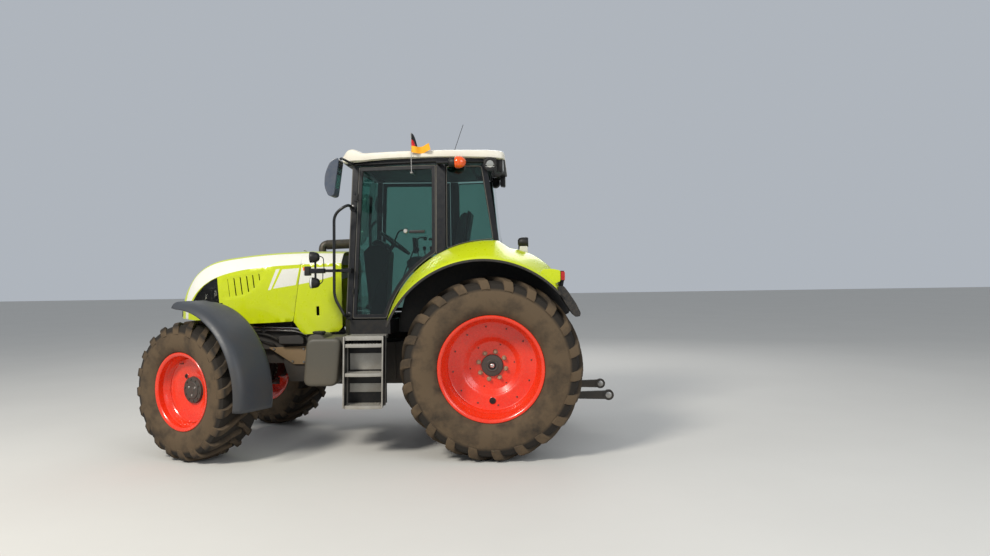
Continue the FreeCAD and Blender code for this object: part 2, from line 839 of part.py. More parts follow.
def cowl():
    """The fixed cowl between the hood and the cab."""
    body = new_body("cowl")
    front = (2040, 414, 1163, 430, 1893, 302, 2032, 2048)
    rear = (1565, 452, 1163, 470, 1885, 330, 2018, 2034)
    wall = S.hood_wall
    sketches = [
        section_sketch(body, "cowl_rear", hood_outline(rear, 0, 0), S.cowl_rear),
        section_sketch(body, "cowl_front", hood_outline(front, 0, 0), 2034),
    ]
    loft(body, "Additive", "cowl_form", sketches)
    hollow = [
        section_sketch(body, "cowl_hollow_rear", hood_outline(rear, wall, 60), S.cowl_rear - 1),
        section_sketch(body, "cowl_hollow_front", hood_outline(front, wall, 60), 2035),
    ]
    loft(body, "Subtractive", "cowl_hollow", hollow)
    for name, side in SIDES:
        box(body, f"{name}_cowl_foot", side, (1960, S.engine_half + S.fit_gap, 1400), (2000, 415, 1440))
        for index, y in enumerate((125, 187)):
            ear = [(2000, 2030), (2000, 2048), (2031, 2059), (2043, 2058), (2043, 2046), (2034, 2042), (2034, 2030)]
            slab(body, f"{name}_ear_{index}", "XZ", [ear], *between(side, y, y + 8))
        rod(body, f"{name}_hinge_pin", "XZ", S.hood_pivot_x, S.hood_pivot_z, 5, *between(side, 125, 195))
    cut(body, "cowl_corner", "XZ", [[(1985, 1100), (2100, 1100), (2100, 1230), (2034, 1230)]], -600, 600)
    finished(body, "cowl")


# Cab

def side_turn(side, toe):
    """How a cab side stands: toed in by toe, and leaning inwards."""
    inwards = FreeCAD.Rotation(Vector(0, 0, 1), -as_size(toe).value * side)
    lean = FreeCAD.Rotation(Vector(1, 0, 0), S.cab_lean.value * side)
    return inwards.multiply(lean)


def on_cab_side(piece, label, side, toe):
    """Places a piece drawn on the flat of a cab side, its origin at the middle post's foot."""
    finished(piece, label, S.post_x, S.cab_half * side, S.sill_z)
    piece.Placement = FreeCAD.Placement(piece.Placement.Base, side_turn(side, toe))
    return piece


def door_outline(margin):
    """A door's outline on the cab side, shrunk by margin: its low rear corner follows the mudguard."""
    corners = [
        (S.door_front_high - S.post_x - margin, S.door_high - S.sill_z - margin),
        (S.door_front_low - S.post_x - margin, as_size(margin) + 4),
    ]
    radius = S.guard_in_radius + 26 + margin
    sill = S.sill_z + 4 + margin
    corners.append((S.guard_in_x + radius * cosine(16) - S.post_x, sill - S.sill_z))
    for angle in (24, 32, 40, 48, 55):
        across = S.guard_in_x + radius * cosine(angle) - S.post_x
        corners.append((across, S.guard_in_z + radius * sine(angle) - S.sill_z))
    rear = S.door_rear - S.post_x + margin
    corners.append((rear, S.guard_in_z + radius * sine(60.5) - S.sill_z))
    corners.append((rear, S.door_high - S.sill_z - margin))
    return corners


def at_hinge(piece, side, share):
    """Puts a hinge part on the line that a door swings about, at a share of the door's height."""
    fall = S.door_front_low - S.door_front_high
    rise = S.door_high - S.sill_z
    lean = math.degrees(math.atan2(fall.value, rise.value))
    piece.Placement = FreeCAD.Placement(Vector(0, 0, 0), FreeCAD.Rotation(Vector(0, 1, 0), -lean))
    tie(piece, "Placement.Base.x", S.door_front_low - S.post_x + S.hinge_play - fall * share)
    tie(piece, "Placement.Base.y", S.hinge_out * side)
    tie(piece, "Placement.Base.z", rise * share)
    return piece


# Hinges of a door: place, share of the door's height
HINGES = [("low", 0.18), ("high", 0.8)]


def doors():
    """The doors, each a frame round one pane, hinged on the front post."""
    for name, side in SIDES:
        start, end = between(side, -S.door_thick, 0)
        leaf = new_body(f"{name}_door_leaf")
        slab(leaf, f"{name}_door_sheet", "XZ", [door_outline(0), door_outline(S.door_frame)], start, end)
        parts = [leaf]
        for part, share in HINGES:
            knuckle = new_body(f"{name}_{part}_knuckle")
            slab(
                knuckle,
                f"{name}_{part}_hinge_leaf",
                "XY",
                [[(x, y * side) for x, y in rectangle(-45, -11, -2, -4)]],
                -25,
                25,
            )
            rod(knuckle, f"{name}_{part}_barrel", "XY", 0, 0, 9, -25, 25)
            drill(knuckle, f"{name}_{part}_barrel_bore", "XY", 0, 0, 5.05, -26, 26)
            parts.append(at_hinge(knuckle, side, share))
        on_cab_side(fused(f"{name}_door", parts), f"{name}_door", side, S.front_toe)
        low, high = between(side, -18, -18 + S.pane)
        body = new_body(f"{name}_door_pane")
        slab(body, f"{name}_door_glass", "XZ", [door_outline(S.door_frame + S.fit_gap)], low, high)
        on_cab_side(body, f"{name}_door_pane", side, S.front_toe)


def cab_posts():
    """Six posts that carry the roof."""
    top = S.door_high - S.sill_z + 4
    posts = []
    for name, side in SIDES:
        start, end = between(side, -S.post_deep, 0)
        front = new_body(f"{name}_front_upright")
        gap = 6
        low_x = S.door_front_low - S.post_x + gap
        high_x = S.door_front_high - S.post_x + gap
        wide = S.post_wide
        foot = S.floor_high + S.fit_gap - S.sill_z + S.post_deep * sine(S.cab_lean)
        bar = [(low_x, foot), (low_x + wide, foot), (high_x + wide, top), (high_x, top)]
        slab(front, f"{name}_front_bar", "XZ", [bar], start, end)
        parts = [front]
        for part, share in HINGES:
            pin = new_body(f"{name}_{part}_pin")
            rod(pin, f"{name}_{part}_pin_bar", "XY", 0, 0, 5, -42, 42)
            ear = [(-6, -5), (4, -5), (4, -11), (30, -11), (30, -6), (14, 5), (-6, 5)]
            for place_name, low, high in (("under", -42, -26), ("over", 26, 42)):
                corners = [(x, y * side) for x, y in ear]
                slab(pin, f"{name}_{part}_ear_{place_name}", "XY", [corners], low, high)
            parts.append(at_hinge(pin, side, share))
        posts.append(on_cab_side(fused(f"{name}_front_group", parts), f"{name}_front_post", side, S.front_toe))
        middle = new_body(f"{name}_middle_post")
        rear_x = S.door_rear - S.post_x - gap
        bar = [(rear_x - 92, 678.5), (rear_x, 632.5), (rear_x, top), (rear_x - 92, top)]
        slab(middle, f"{name}_middle_bar", "XZ", [bar], start, end)
        posts.append(on_cab_side(middle, f"{name}_middle_post", side, S.front_toe))
        rear = new_body(f"{name}_rear_post")
        bar = [(-592, 764.2), (-540, 764.2), (-432, top), (-484, top)]
        slab(rear, f"{name}_rear_bar", "XZ", [bar], start, end)
        posts.append(on_cab_side(rear, f"{name}_rear_post", side, -S.rear_toe))
    for post in posts:
        nodes.remove(post)
    group = bundle("cab_posts", posts)
    group.Label = "cab_posts"
    nodes.append(group)


def cab_shell():
    """Floor, roof frame, roof and rear panel."""
    floor = new_body("cab_floor")
    outline = [(-110, 560), (960, 560), (1010, 800), (1420, 770), (1480, 700)]
    outline += [(x, -y) for x, y in reversed(outline)]
    slab(floor, "floor_tray", "XY", [outline], S.floor_low, S.floor_high)
    well = [(-70, 520), (990, 520), (1040, 760), (1400, 735), (1440, 680)]
    well += [(x, -y) for x, y in reversed(well)]
    cut(floor, "floor_well", "XY", [well], S.floor_low + 40, S.floor_high + 1)
    riser = [(-110, 1480), (430, 1480), (430, 1215), (415, 1215), (415, 1465), (-110, 1465)]
    slab(floor, "floor_riser", "XZ", [riser], -550, 550)
    finished(floor, "cab_floor")
    frame = new_body("roof_frame")
    outer = [(0, 685), (455, 762), (545, 762), (1392, 680)]
    outer += [(x, -y) for x, y in reversed(outer)]
    inner = [(60, 620), (455, 695), (545, 695), (1330, 615)]
    inner += [(x, -y) for x, y in reversed(inner)]
    slab(frame, "roof_ring", "XY", [outer, inner], S.door_high + 6, S.roof_low - S.fit_gap)
    finished(frame, "roof_frame")
    roof = new_body("roof")
    # Roof levels: height above the roof's lower edge, inset of the outline
    for index, (low, high, inset) in enumerate(((0, 66, 0), (66, 90, 26), (90, 100, 80))):
        edge = [(-134, 690), (-100, 745), (500, 800), (1380, 760), (1498, 640)]
        edge = [(x + inset * (1 if x < 500 else -1 if x > 500 else 0), y - inset) for x, y in edge]
        edge += [(x, -y) for x, y in reversed(edge)]
        slab(roof, f"roof_level_{index}", "XY", [edge], S.roof_low + low, S.roof_low + high)
    finished(roof, "roof")
    panel = new_body("rear_panel")
    sheet_corners = [(-555, 1480.3), (555, 1480.3), (589, 1751.6), (-589, 1751.6)]
    slab(panel, "rear_panel_sheet", "YZ", [sheet_corners], -118, -98)
    finished(panel, "rear_panel")


def cab_windows():
    """Fixed panes: windscreen, rear window and both rear side windows."""
    panes = []
    screen = new_body("windscreen")
    slab(screen, "windscreen_pane", "YZ", [[(-750, 0), (750, 0), (662, 1524), (-662, 1524)]], 0, S.pane)
    finished(screen, "windscreen", 1454.2, 0, 1338, (-2.63, Vector(0, 1, 0)))
    panes.append(screen)
    rear = new_body("rear_window")
    slab(rear, "rear_pane", "YZ", [[(-560, 0), (560, 0), (600, 1105), (-600, 1105)]], 0, S.pane)
    finished(rear, "rear_window", -108, 0, 1752.4, (5.2, Vector(0, 1, 0)))
    panes.append(rear)
    for name, side in SIDES:
        start, end = between(side, -30, -25)
        body = new_body(f"{name}_side_window")
        outline = [(-536, 780), (-477, 777), (-356, 766), (-205, 736), (-71.4, 685), (-81.4, 1520), (-432, 1520)]
        slab(body, f"{name}_side_pane", "XZ", [outline], start, end)
        panes.append(on_cab_side(body, f"{name}_side_window", side, -S.rear_toe))
    for pane in panes:
        nodes.remove(pane)
    group = bundle("cab_windows", panes)
    group.Label = "cab_windows"
    nodes.append(group)


def cab_inside():
    """Seat and steering console."""
    seat = new_body("seat")
    box(seat, "seat_base", 1, (420, -150, 1480), (700, 150, 1740))
    box(seat, "seat_cushion", 1, (330, -250, 1740), (820, 250, 1870))
    slab(seat, "seat_back", "XZ", [[(330, 1870), (230, 2440), (310, 2480), (430, 1870)]], -240, 240)
    for name, side in SIDES:
        box(seat, f"{name}_arm_rest", side, (300, 250, 1980), (640, 320, 2040))
        box(seat, f"{name}_arm_post", side, (330, 250, 1800), (400, 290, 1980))
    finished(seat, "seat")
    console = new_body("steering_console")
    outline = [(1180, 1230.3), (1330, 1230.3), (1410, 2030), (1330, 2100), (1218, 2108), (1118, 2030)]
    slab(console, "console_body", "XZ", [outline], -160, 160)
    finished(console, "steering_console")
    wheel = doc.addObject("Part::Torus", "wheel_ring")
    wheel.Radius1 = 190
    wheel.Radius2 = 14
    hub = doc.addObject("Part::Cylinder", "steering_hub")
    hub.Radius = 45
    hub.Height = 40
    hub.Placement.Base = Vector(0, 0, -30)
    shaft = doc.addObject("Part::Cylinder", "steering_shaft")
    shaft.Radius = 22
    shaft.Height = 74
    shaft.Placement.Base = Vector(0, 0, -94.5)
    spokes = []
    for index in range(3):
        spoke = doc.addObject("Part::Box", f"steering_spoke_{index}")
        spoke.Length = 190
        spoke.Width = 24
        spoke.Height = 10
        turn = FreeCAD.Rotation(Vector(0, 0, 1), 120 * index)
        spoke.Placement = FreeCAD.Placement(turn.multVec(Vector(0, -12, -5)), turn)
        spokes.append(spoke)
    wheel_group = fused("steering_wheel_group", [wheel, hub, shaft] + spokes)
    finished(wheel_group, "steering_wheel", 1085, 0, 2125, (-38, Vector(0, 1, 0)))


def small_fittings():
    """Exhaust, rails, mirrors, lamps, beacon, aerial and flag."""
    bends = [(1978, -438.1, 1850), (1978, -506, 1850), (2025, -506, 2010), (2025, -506, 2165)]
    bends += [(1580, -655, 2185), (1530, -670, 2740)]
    pipe = bent_tube("exhaust_pipe", bends, 45, 52)
    shield = doc.addObject("Part::Cylinder", "exhaust_shield")
    shield.Radius = 75
    shield.Height = 480
    shield.Placement = FreeCAD.Placement(Vector(1570, -657, 2240), FreeCAD.Rotation(Vector(0, 1, 0), -5))
    finished(fused("exhaust_group", [pipe, shield]), "exhaust")
    rails = []
    mirrors = []
    fronts = []
    workers = []
    tails = []
    for name, side in SIDES:
        rail = [(1385, 700, 2455), (1402, 880, 2475), (1535, 880, 2380)]
        rail += [(1545, 880, 1560), (1440, 880, 1372), (1428, 760.2, 1372)]
        rails.append(bent_tube(f"{name}_rail", [(x, y * side, z) for x, y, z in rail], 15, 28))
        bends = [(1378, 682.3, 2895), (1400, 1120, 2895), (1440, 1190, 2780)]
        arm = bent_tube(f"{name}_mirror_arm", [(x, y * side, z) for x, y, z in bends], 13, 40)
        head = new_body(f"{name}_mirror_head")
        low, high = between(side, 1100, 1290)
        case = [(1432, 2520), (1482, 2515), (1440, 2860), (1372, 2870)]
        slab(head, f"{name}_mirror_case", "XZ", [case], low, high)
        mirrors.append(fused(f"{name}_mirror", [arm, head]))
        lamps = new_body(f"{name}_lamp_arm")
        box(lamps, f"{name}_lamp_bar", side, (1390, 790, 1805), (1840, 830, 1845))
        box(lamps, f"{name}_lamp_root", side, (1388, 737.5, 1800), (1422, 830, 1850))
        box(lamps, f"{name}_lamp_strut", side, (1735, 795, 1680), (1760, 825, 1990))
        for place_name, z in (("high", 1961), ("low", 1707)):
            rod(lamps, f"{name}_{place_name}_lamp", "YZ", 835 * side, z, 46, 1725, 1800)
        box(lamps, f"{name}_indicator", side, (1800, 780, 1780), (1870, 850, 1870))
        fronts.append(lamps)
        worker = new_body(f"{name}_work_lamp")
        box(worker, f"{name}_rear_case", side, (-128, 560, 2790), (-70, 690, S.roof_low - S.fit_gap))
        box(worker, f"{name}_side_case", side, (-66, 718, 2790), (60, 752, S.roof_low - S.fit_gap))
        workers.append(worker)
        tail = new_body(f"{name}_tail_lamp")
        box(tail, f"{name}_tail_case", side, (-702, 1010, 1690), (-657, 1180, 1790))
        foot = [(-649.5, 1657.2), (-684.2, 1608.3), (-700, 1692), (-660, 1692)]
        slab(tail, f"{name}_tail_foot", "XZ", [foot], *between(side, 1089, 1101))
        tails.append(tail)
    for label, pieces in (
        ("handrails", rails),
        ("mirrors", mirrors),
        ("front_lamps", fronts),
        ("work_lamps", workers),
        ("tail_lamps", tails),
    ):
        finished(bundle(f"{label}_group", pieces), label)
    beacon = new_body("beacon")
    rod(beacon, "beacon_arm", "YZ", 860, 2870, 14, 400, 520)
    box(beacon, "beacon_foot", 1, (480, 762.3, 2856), (520, 868, 2884))
    rod(beacon, "beacon_base", "YZ", 860, 2870, 44, 335, 402)
    rod(beacon, "beacon_dome", "YZ", 860, 2870, 50, 235, 335)
    finished(beacon, "beacon")
    pole = new_body("flag_pole")
    rod(pole, "flag_stick", "XY", 773, 814, 4, 2780, 3178)
    box(pole, "flag_clip", 1, (762, 727, 2776), (784, 822, 2790))
    finished(pole, "flag_pole")
    cloth = new_body("flag_cloth")
    box(cloth, "flag_sheet", 1, (560, 813, 2962), (768.7, 815, 3172))
    finished(cloth, "flag_cloth")
    aerial = doc.addObject("Part::Cylinder", "aerial_rod")
    aerial.Radius = 3
    aerial.Height = 400
    aerial.Placement = FreeCAD.Placement(Vector(447, 0, 3033), FreeCAD.Rotation(Vector(0, 1, 0), -19.5))
    foot = doc.addObject("Part::Cylinder", "aerial_foot")
    foot.Radius = 22
    foot.Height = 22
    foot.Placement.Base = Vector(447, 0, 3030.3)
    finished(fused("aerial_group", [aerial, foot]), "aerial")


# Mudguards, tank and steps

def arc_band(body, name, y, centre_x, centre_z, radius, wall, start, end):
    """A sketch of a curved strip: two arcs about one centre, closed at both ends."""
    sketch = new_sketch(body, name, "XZ", -as_size(y))
    middle = Vector(as_size(centre_x).value, as_size(centre_z).value, 0)
    first = math.radians(start)
    last = math.radians(end)
    outer = as_size(radius)
    inner = outer - wall

    def spot(distance, angle):
        return middle + Vector(math.cos(angle), math.sin(angle), 0) * distance.value

    up = Vector(0, 0, 1)
    sketch.addGeometry(Part.ArcOfCircle(Part.Circle(middle, up, outer.value), first, last), False)
    sketch.addGeometry(Part.LineSegment(spot(outer, last), spot(inner, last)), False)
    sketch.addGeometry(Part.ArcOfCircle(Part.Circle(middle, up, inner.value), first, last), False)
    sketch.addGeometry(Part.LineSegment(spot(inner, first), spot(outer, first)), False)
    rules = [("Coincident", 0, 2, 1, 1), ("Coincident", 1, 2, 2, 2), ("Coincident", 2, 1, 3, 1)]
    rules += [("Coincident", 3, 2, 0, 1), ("Coincident", 0, 3, 2, 3)]
    rules += [("PointOnObject", 0, 3, 1), ("PointOnObject", 0, 3, 3)]
    rules += [("Angle", -1, 1, 3, 1, first), ("Angle", -1, 1, 1, 2, last)]
    for rule in rules:
        sketch.addConstraint(Sketcher.Constraint(*rule))
    pin_point(sketch, 0, 3, centre_x, centre_z)
    for geometry, size in ((0, outer), (2, inner)):
        index = sketch.addConstraint(Sketcher.Constraint("Radius", geometry, size.value))
        sketch.setExpression(f"Constraints[{index}]", size.text)
    return sketch


def rear_guards():
    """Rear mudguards: a sheet that slopes from the cab side down to its outer edge, and an inner wall."""
    for name, side in SIDES:
        label = f"{name}_rear_guard"
        body = new_body(label)
        wall = S.guard_sheet
        # Stretches of the guard: name, cab-side centre x and z and radius, start and end there,
        # start and end on the outer edge, in degrees
        stretches = [
            ("front", S.guard_in_x, S.guard_in_z, S.guard_in_radius, 15.4, 95.3, 24.2, 98),
            ("rear", -110, 1360, 662, 95, 142, 100, 137),
        ]
        for part, x, z, radius, start, end, out_start, out_end in stretches:
            sections = [
                arc_band(body, f"{label}_{part}_wall", S.guard_wall_y * side, x, z, radius, wall, start, end),
                arc_band(body, f"{label}_{part}_cab", S.guard_in_y * side, x, z, radius, wall, start, end),
                arc_band(
                    body,
                    f"{label}_{part}_edge",
                    S.guard_out_y * side,
                    S.guard_out_x,
                    S.guard_out_z,
                    S.guard_out_radius,
                    wall,
                    out_start,
                    out_end,
                ),
            ]
            loft(body, "Additive", f"{label}_{part}", sections)
        inner_step = [(-66.0, 2095.4), (-65.4, 2087.4), (-173.7, 2009.9), (-174.5, 2017.8)]
        outer_step = [(-60.3, 1901.4), (-59.3, 1893.5), (-106.1, 1886.1), (-107.5, 1893.9)]
        steps = []
        for part, y, corners in (
            ("wall", S.guard_wall_y, inner_step),
            ("cab", S.guard_in_y, inner_step),
            ("edge", S.guard_out_y, outer_step),
        ):
            sketch = new_sketch(body, f"{label}_step_{part}", "XZ", -as_size(y * side))
            add_loop(sketch, corners)
            steps.append(sketch)
        loft(body, "Additive", f"{label}_step", steps)
        low, high = between(side, S.guard_wall_y - 10, S.guard_wall_y)
        inner = [(900, S.floor_low), (955, 1300), (870, 1660), (640, 1900), (320, 2045), (-60, 2075), (-120, 2000)]
        inner += [(-420, 1900), (-600, 1740), (-600, 1600), (-420, S.floor_low)]
        slab(body, f"{label}_inner_wall", "XZ", [inner], low, high)
        finished(body, label)


def guard_edges():
    """Rubber strips round the outer edges of the rear mudguards, and the flaps behind them."""
    pieces = []
    for name, side in SIDES:
        body = new_body(f"{name}_edge")
        radius = S.guard_out_radius
        for part, y in (("inside", S.guard_out_y + S.fit_gap), ("outside", S.guard_out_y + 34)):
            arc_band(body, f"{name}_edge_{part}", y * side, S.guard_out_x, S.guard_out_z, radius - 2, 22, 22, 139)
        loft(body, "Additive", f"{name}_edge_strip", body.Group[:2])
        bottom = [(-824, 1384), (-836, 1388)]
        flaps = []
        for y, top in (
            (700, [(-631.9, 1767.3), (-624.0, 1761.1)]),
            (860, [(-631.9, 1767.3), (-624.0, 1761.1)]),
            (1240, [(-647.0, 1603.4), (-639.8, 1596.6)]),
        ):
            sketch = new_sketch(body, f"{name}_flap_{y}", "XZ", -as_size(y * side))
            add_loop(sketch, top + bottom)
            flaps.append(sketch)
        loft(body, "Additive", f"{name}_flap", flaps)
        pieces.append(body)
    finished(bundle("guard_edges_group", pieces), "guard_edges")


def tank_and_steps():
    """Fuel tank on the left, battery box on the right, steps on both sides."""
    tank = new_body("fuel_tank")
    outline = [(1502, 700), (1837, 702), (1790, 1178), (1450, 1178), (1450, 1080)]
    slab(tank, "tank_shell", "XZ", [outline], 470, 1000)
    slab(tank, "tank_shoulder", "XZ", [[(1392, 1100), (1460, 1065), (1460, 1150), (1395, 1150)]], 470, 860)
    finished(tank, "fuel_tank")
    battery = new_body("battery_box")
    slab(battery, "battery_case", "XZ", [[(1480, 740), (1820, 740), (1800, 1120), (1480, 1120)]], -1000, -470)
    finished(battery, "battery_box")
    pieces = []
    for name, side in SIDES:
        body = new_body(f"{name}_steps")
        low, high = between(side, 900, 1080)
        for part, x in (("front", 1405), ("rear", 1030)):
            top = S.floor_low - S.fit_gap
            slab(body, f"{name}_{part}_upright", "XZ", [[(x, top), (x + 18, 500), (x + 30, 500), (x + 12, top)]], low, high)
        for index, z in enumerate((511, 822, 1102)):
            box(body, f"{name}_tread_{index}", side, (1040, 870, z - 15), (1415, 1085, z + 15))
        box(body, f"{name}_deck", side, (1036, 780, 1150), (1410, 1060, S.floor_low - S.fit_gap))
        pieces.append(body)
    finished(bundle("steps_group", pieces), "steps")
    brackets = new_body("side_brackets")
    for name, side in SIDES:
        box(brackets, f"{name}_tank_beam", side, (1560, S.gearbox_half, 860), (1640, 469.7, 960))
        box(brackets, f"{name}_step_beam", side, (1180, S.gearbox_half, 1120), (1260, 779.7, 1180))
    finished(brackets, "side_brackets")


# Rear linkage

def linkage():
    """Lower links, lift arms and rods, top link and the hitch frame."""
    links = []
    arms = []
    rods = []
    far = S.link_length
    for name, side in SIDES:
        link = new_body(f"{name}_lower_link")
        low, high = between(side, 255, 290)
        slab(link, f"{name}_link_front", "XZ", [[(-520, -32), (30, -28), (30, 28), (-520, 32)]], low, high)
        drill(link, f"{name}_link_front_bore", "XZ", 0, 0, 16.05, *between(side, 250, 295))
        rod(link, f"{name}_link_pin", "XZ", -S.arm_length, 0, 14, *between(side, 290, 378))
        low, high = between(side, 385, 420)
        slab(link, f"{name}_link_rear", "XZ", [[(-far - 20, -45), (-480, -32), (-480, 32), (-far - 20, 45)]], low, high)
        low, high = between(side, 255, 420)
        slab(link, f"{name}_link_bend", "XZ", [[(-520, -32), (-480, -32), (-480, 32), (-520, 32)]], low, high)
        rod(link, f"{name}_link_ball", "XZ", -far, 0, 52, *between(side, 380, 425))
        drill(link, f"{name}_link_bore", "XZ", -far, 0, 14.3, *between(side, 370, 435))
        links.append(link)
        arm = new_body(f"{name}_lift_arm")
        low, high = between(side, 300, 336)
        outline = [(40, -50), (40, 50), (-S.arm_length - 25, 30), (-S.arm_length - 25, -30)]
        slab(arm, f"{name}_arm_bar", "XZ", [outline], low, high)
        low, high = between(side, S.gearbox_half + S.fit_gap, 300)
        rod(arm, f"{name}_cross_shaft", "XZ", 0, 0, 32, low, high)
        low, high = between(side, 336, 378)
        rod(arm, f"{name}_arm_pin", "XZ", -S.arm_length, 0, 14, low, high)
        arms.append(arm)
        lift = new_body(f"{name}_lift_rod")
        rise = S.arm_pivot_z - S.link_pivot_z
        run = S.arm_pivot_x - S.link_pivot_x
        low, high = between(side, 342, 372)
        slab(lift, f"{name}_rod_bar", "XZ", [[(-16, 0), (16, 0), (run + 16, rise), (run - 16, rise)]], low, high)
        rod(lift, f"{name}_rod_low_eye", "XZ", 0, 0, 30, low, high)
        rod(lift, f"{name}_rod_high_eye", "XZ", run, rise, 30, low, high)
        drill(lift, f"{name}_rod_low_bore", "XZ", 0, 0, 14.05, *between(side, 340, 374))
        drill(lift, f"{name}_rod_high_bore", "XZ", run, rise, 14.3, *between(side, 340, 374))
        rods.append(lift)
    finished(bundle("lower_links_group", links), "lower_links", S.link_pivot_x, 0, S.link_pivot_z)
    finished(bundle("lift_arms_group", arms), "lift_arms", S.arm_pivot_x, 0, S.arm_pivot_z)
    finished(bundle("lift_rods_group", rods), "lift_rods", S.link_pivot_x - S.arm_length, 0, S.link_pivot_z)
    frame = new_body("hitch_frame")
    for name, side in SIDES:
        rear = -330 - S.fit_gap
        box(frame, f"{name}_ladder", side, (-430, 130, 380), (rear, 165, 1080))
        low, high = S.link_pivot_x - 20, S.link_pivot_x + 60
        box(frame, f"{name}_link_bracket", side, (low, 200, 460), (high, 249, S.gearbox_low - S.fit_gap))
        rod(frame, f"{name}_link_pin", "XZ", S.link_pivot_x, S.link_pivot_z, 16, *between(side, 249, 296))
        box(frame, f"{name}_top_ear", side, (-445, 30, 993), (-390, 46, 1212))
    box(frame, "ladder_foot", 1, (-420, -165, 380), (-360, 165, 410))
    for part, z in (("low_jaw", 870), ("high_jaw", 965)):
        box(frame, part, 1, (-560, -70, z), (rear, 70, z + 28))
        drill(frame, f"{part}_hole", "XY", -510, 0, 16.5, z - 1, z + 29)
        box(frame, f"{part}_web", 1, (-430, -165, z), (-370, 165, z + 28))
    rod(frame, "power_stub", "YZ", 0, 700, 17.4, -440, rear)
    rod(frame, "top_pin", "XZ", -420, 1180, 14, -46, 46)
    finished(frame, "hitch_frame")
    top = new_body("top_link")
    rod(top, "top_link_eye", "XZ", 0, 0, 30, -24, 24)
    slab(top, "top_link_bar", "XZ", [[(-18, 0), (18, 0), (-60, 480), (-96, 480)]], -18, 18)
    rod(top, "top_link_far_eye", "XZ", -78, 480, 32, -25, 25)
    drill(top, "top_link_bore", "XZ", 0, 0, 14.05, -30, 30)
    drill(top, "top_link_far_bore", "XZ", -78, 480, 12.9, -30, 30)
    finished(top, "top_link", -420, 0, 1180)


rear_wheels()
front_wheels()
front_axle()
swivels()
front_guards()
steering()
driveline()
hood()
hood_grille()
cowl()
doors()
cab_posts()
cab_shell()
cab_windows()
cab_inside()
small_fittings()
rear_guards()
guard_edges()
tank_and_steps()
linkage()
doc.recompute()

faults = [item.Name for item in doc.Objects if "Invalid" in item.State or "Error" in item.State]
for node in nodes:
    if node.Shape.isNull() or not node.Shape.isValid():
        faults.append(node.Label)
if faults:
    raise RuntimeError(f"These did not build: {faults}")

os.makedirs("parts", exist_ok=True)
for node in nodes:
    node.Shape.exportStep(f"parts/{node.Label}.step")
print(len(nodes), "pieces written")
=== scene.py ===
import math

import bmesh
import bpy
from mathutils import Matrix, Vector
from mathutils.geometry import delaunay_2d_cdt


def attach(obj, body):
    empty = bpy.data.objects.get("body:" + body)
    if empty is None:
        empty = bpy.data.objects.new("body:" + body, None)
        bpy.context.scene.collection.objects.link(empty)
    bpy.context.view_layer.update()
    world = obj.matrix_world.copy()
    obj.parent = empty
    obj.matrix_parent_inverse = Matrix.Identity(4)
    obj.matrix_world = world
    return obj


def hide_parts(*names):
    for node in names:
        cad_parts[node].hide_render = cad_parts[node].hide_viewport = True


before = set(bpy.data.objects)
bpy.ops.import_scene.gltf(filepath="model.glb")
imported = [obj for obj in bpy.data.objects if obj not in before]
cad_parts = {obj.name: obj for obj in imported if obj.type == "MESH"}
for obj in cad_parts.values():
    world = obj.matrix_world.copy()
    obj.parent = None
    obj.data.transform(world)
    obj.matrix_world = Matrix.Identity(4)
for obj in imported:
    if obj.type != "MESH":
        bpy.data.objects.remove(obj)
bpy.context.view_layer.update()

# Places below are in metres from the point on the ground under the middle of the rear axle.
ORIGIN = Vector((-1.1766, -0.0598, 0))
WHEELBASE = 2.8
REAR_RADIUS = 0.8725
FRONT_RADIUS = 0.6775
KINGPIN_Y = 0.72
STEER = math.radians(28)
SIDES = (("left", 1), ("right", -1))

scene = bpy.context.scene
scene.view_settings.view_transform = "Standard"
scene.view_settings.look = "None"


# Materials

def node(tree, kind, values=None, **settings):
    """A shader node with its settings and its socket values."""
    made = tree.nodes.new(f"ShaderNode{kind}")
    for key, value in settings.items():
        setattr(made, key, value)
    for key, value in (values or {}).items():
        made.inputs[key].default_value = value
    return made


def mixed(tree, factor, first, second):
    """Mixes two colours, each a colour or a socket, by a socket."""
    mix = tree.nodes.new("ShaderNodeMix")
    mix.data_type = "RGBA"
    tree.links.new(factor, mix.inputs["Factor"])
    for socket, colour in ((mix.inputs["A"], first), (mix.inputs["B"], second)):
        if isinstance(colour, bpy.types.NodeSocket):
            tree.links.new(colour, socket)
        else:
            socket.default_value = (*colour, 1)
    return mix.outputs["Result"]


def ramp(tree, value, low, high):
    """Turns a value into 0 to 1 between low and high."""
    made = node(tree, "MapRange", {"From Min": low, "From Max": high}, clamp=True)
    tree.links.new(value, made.inputs["Value"])
    return made.outputs["Result"]


def combine(tree, first, second, operation="MULTIPLY"):
    """One value from a socket and a socket or number."""
    made = node(tree, "Math", operation=operation)
    tree.links.new(first, made.inputs[0])
    if isinstance(second, bpy.types.NodeSocket):
        tree.links.new(second, made.inputs[1])
    else:
        made.inputs[1].default_value = second
    return made.outputs[0]


def texture_place(tree, scale=(1, 1, 1)):
    """Object coordinates, scaled."""
    where = tree.nodes.new("ShaderNodeTexCoord")
    if scale == (1, 1, 1):
        return where.outputs["Object"]
    mapping = node(tree, "Mapping", {"Scale": scale})
    tree.links.new(where.outputs["Object"], mapping.inputs["Vector"])
    return mapping.outputs["Vector"]


def noise_at(tree, scale, detail=4, stretch=(1, 1, 1)):
    """Noise in object space."""
    made = node(tree, "TexNoise", {"Scale": scale, "Detail": detail, "Roughness": 0.6})
    tree.links.new(texture_place(tree, stretch), made.inputs["Vector"])
    return made.outputs["Fac"]


def bump(tree, shader, height, strength, distance):
    """Feeds a height into the shader's normal."""
    made = node(tree, "Bump", {"Strength": strength, "Distance": distance})
    tree.links.new(height, made.inputs["Height"])
    tree.links.new(made.outputs["Normal"], shader.inputs["Normal"])


DUST = (0.30, 0.215, 0.115)
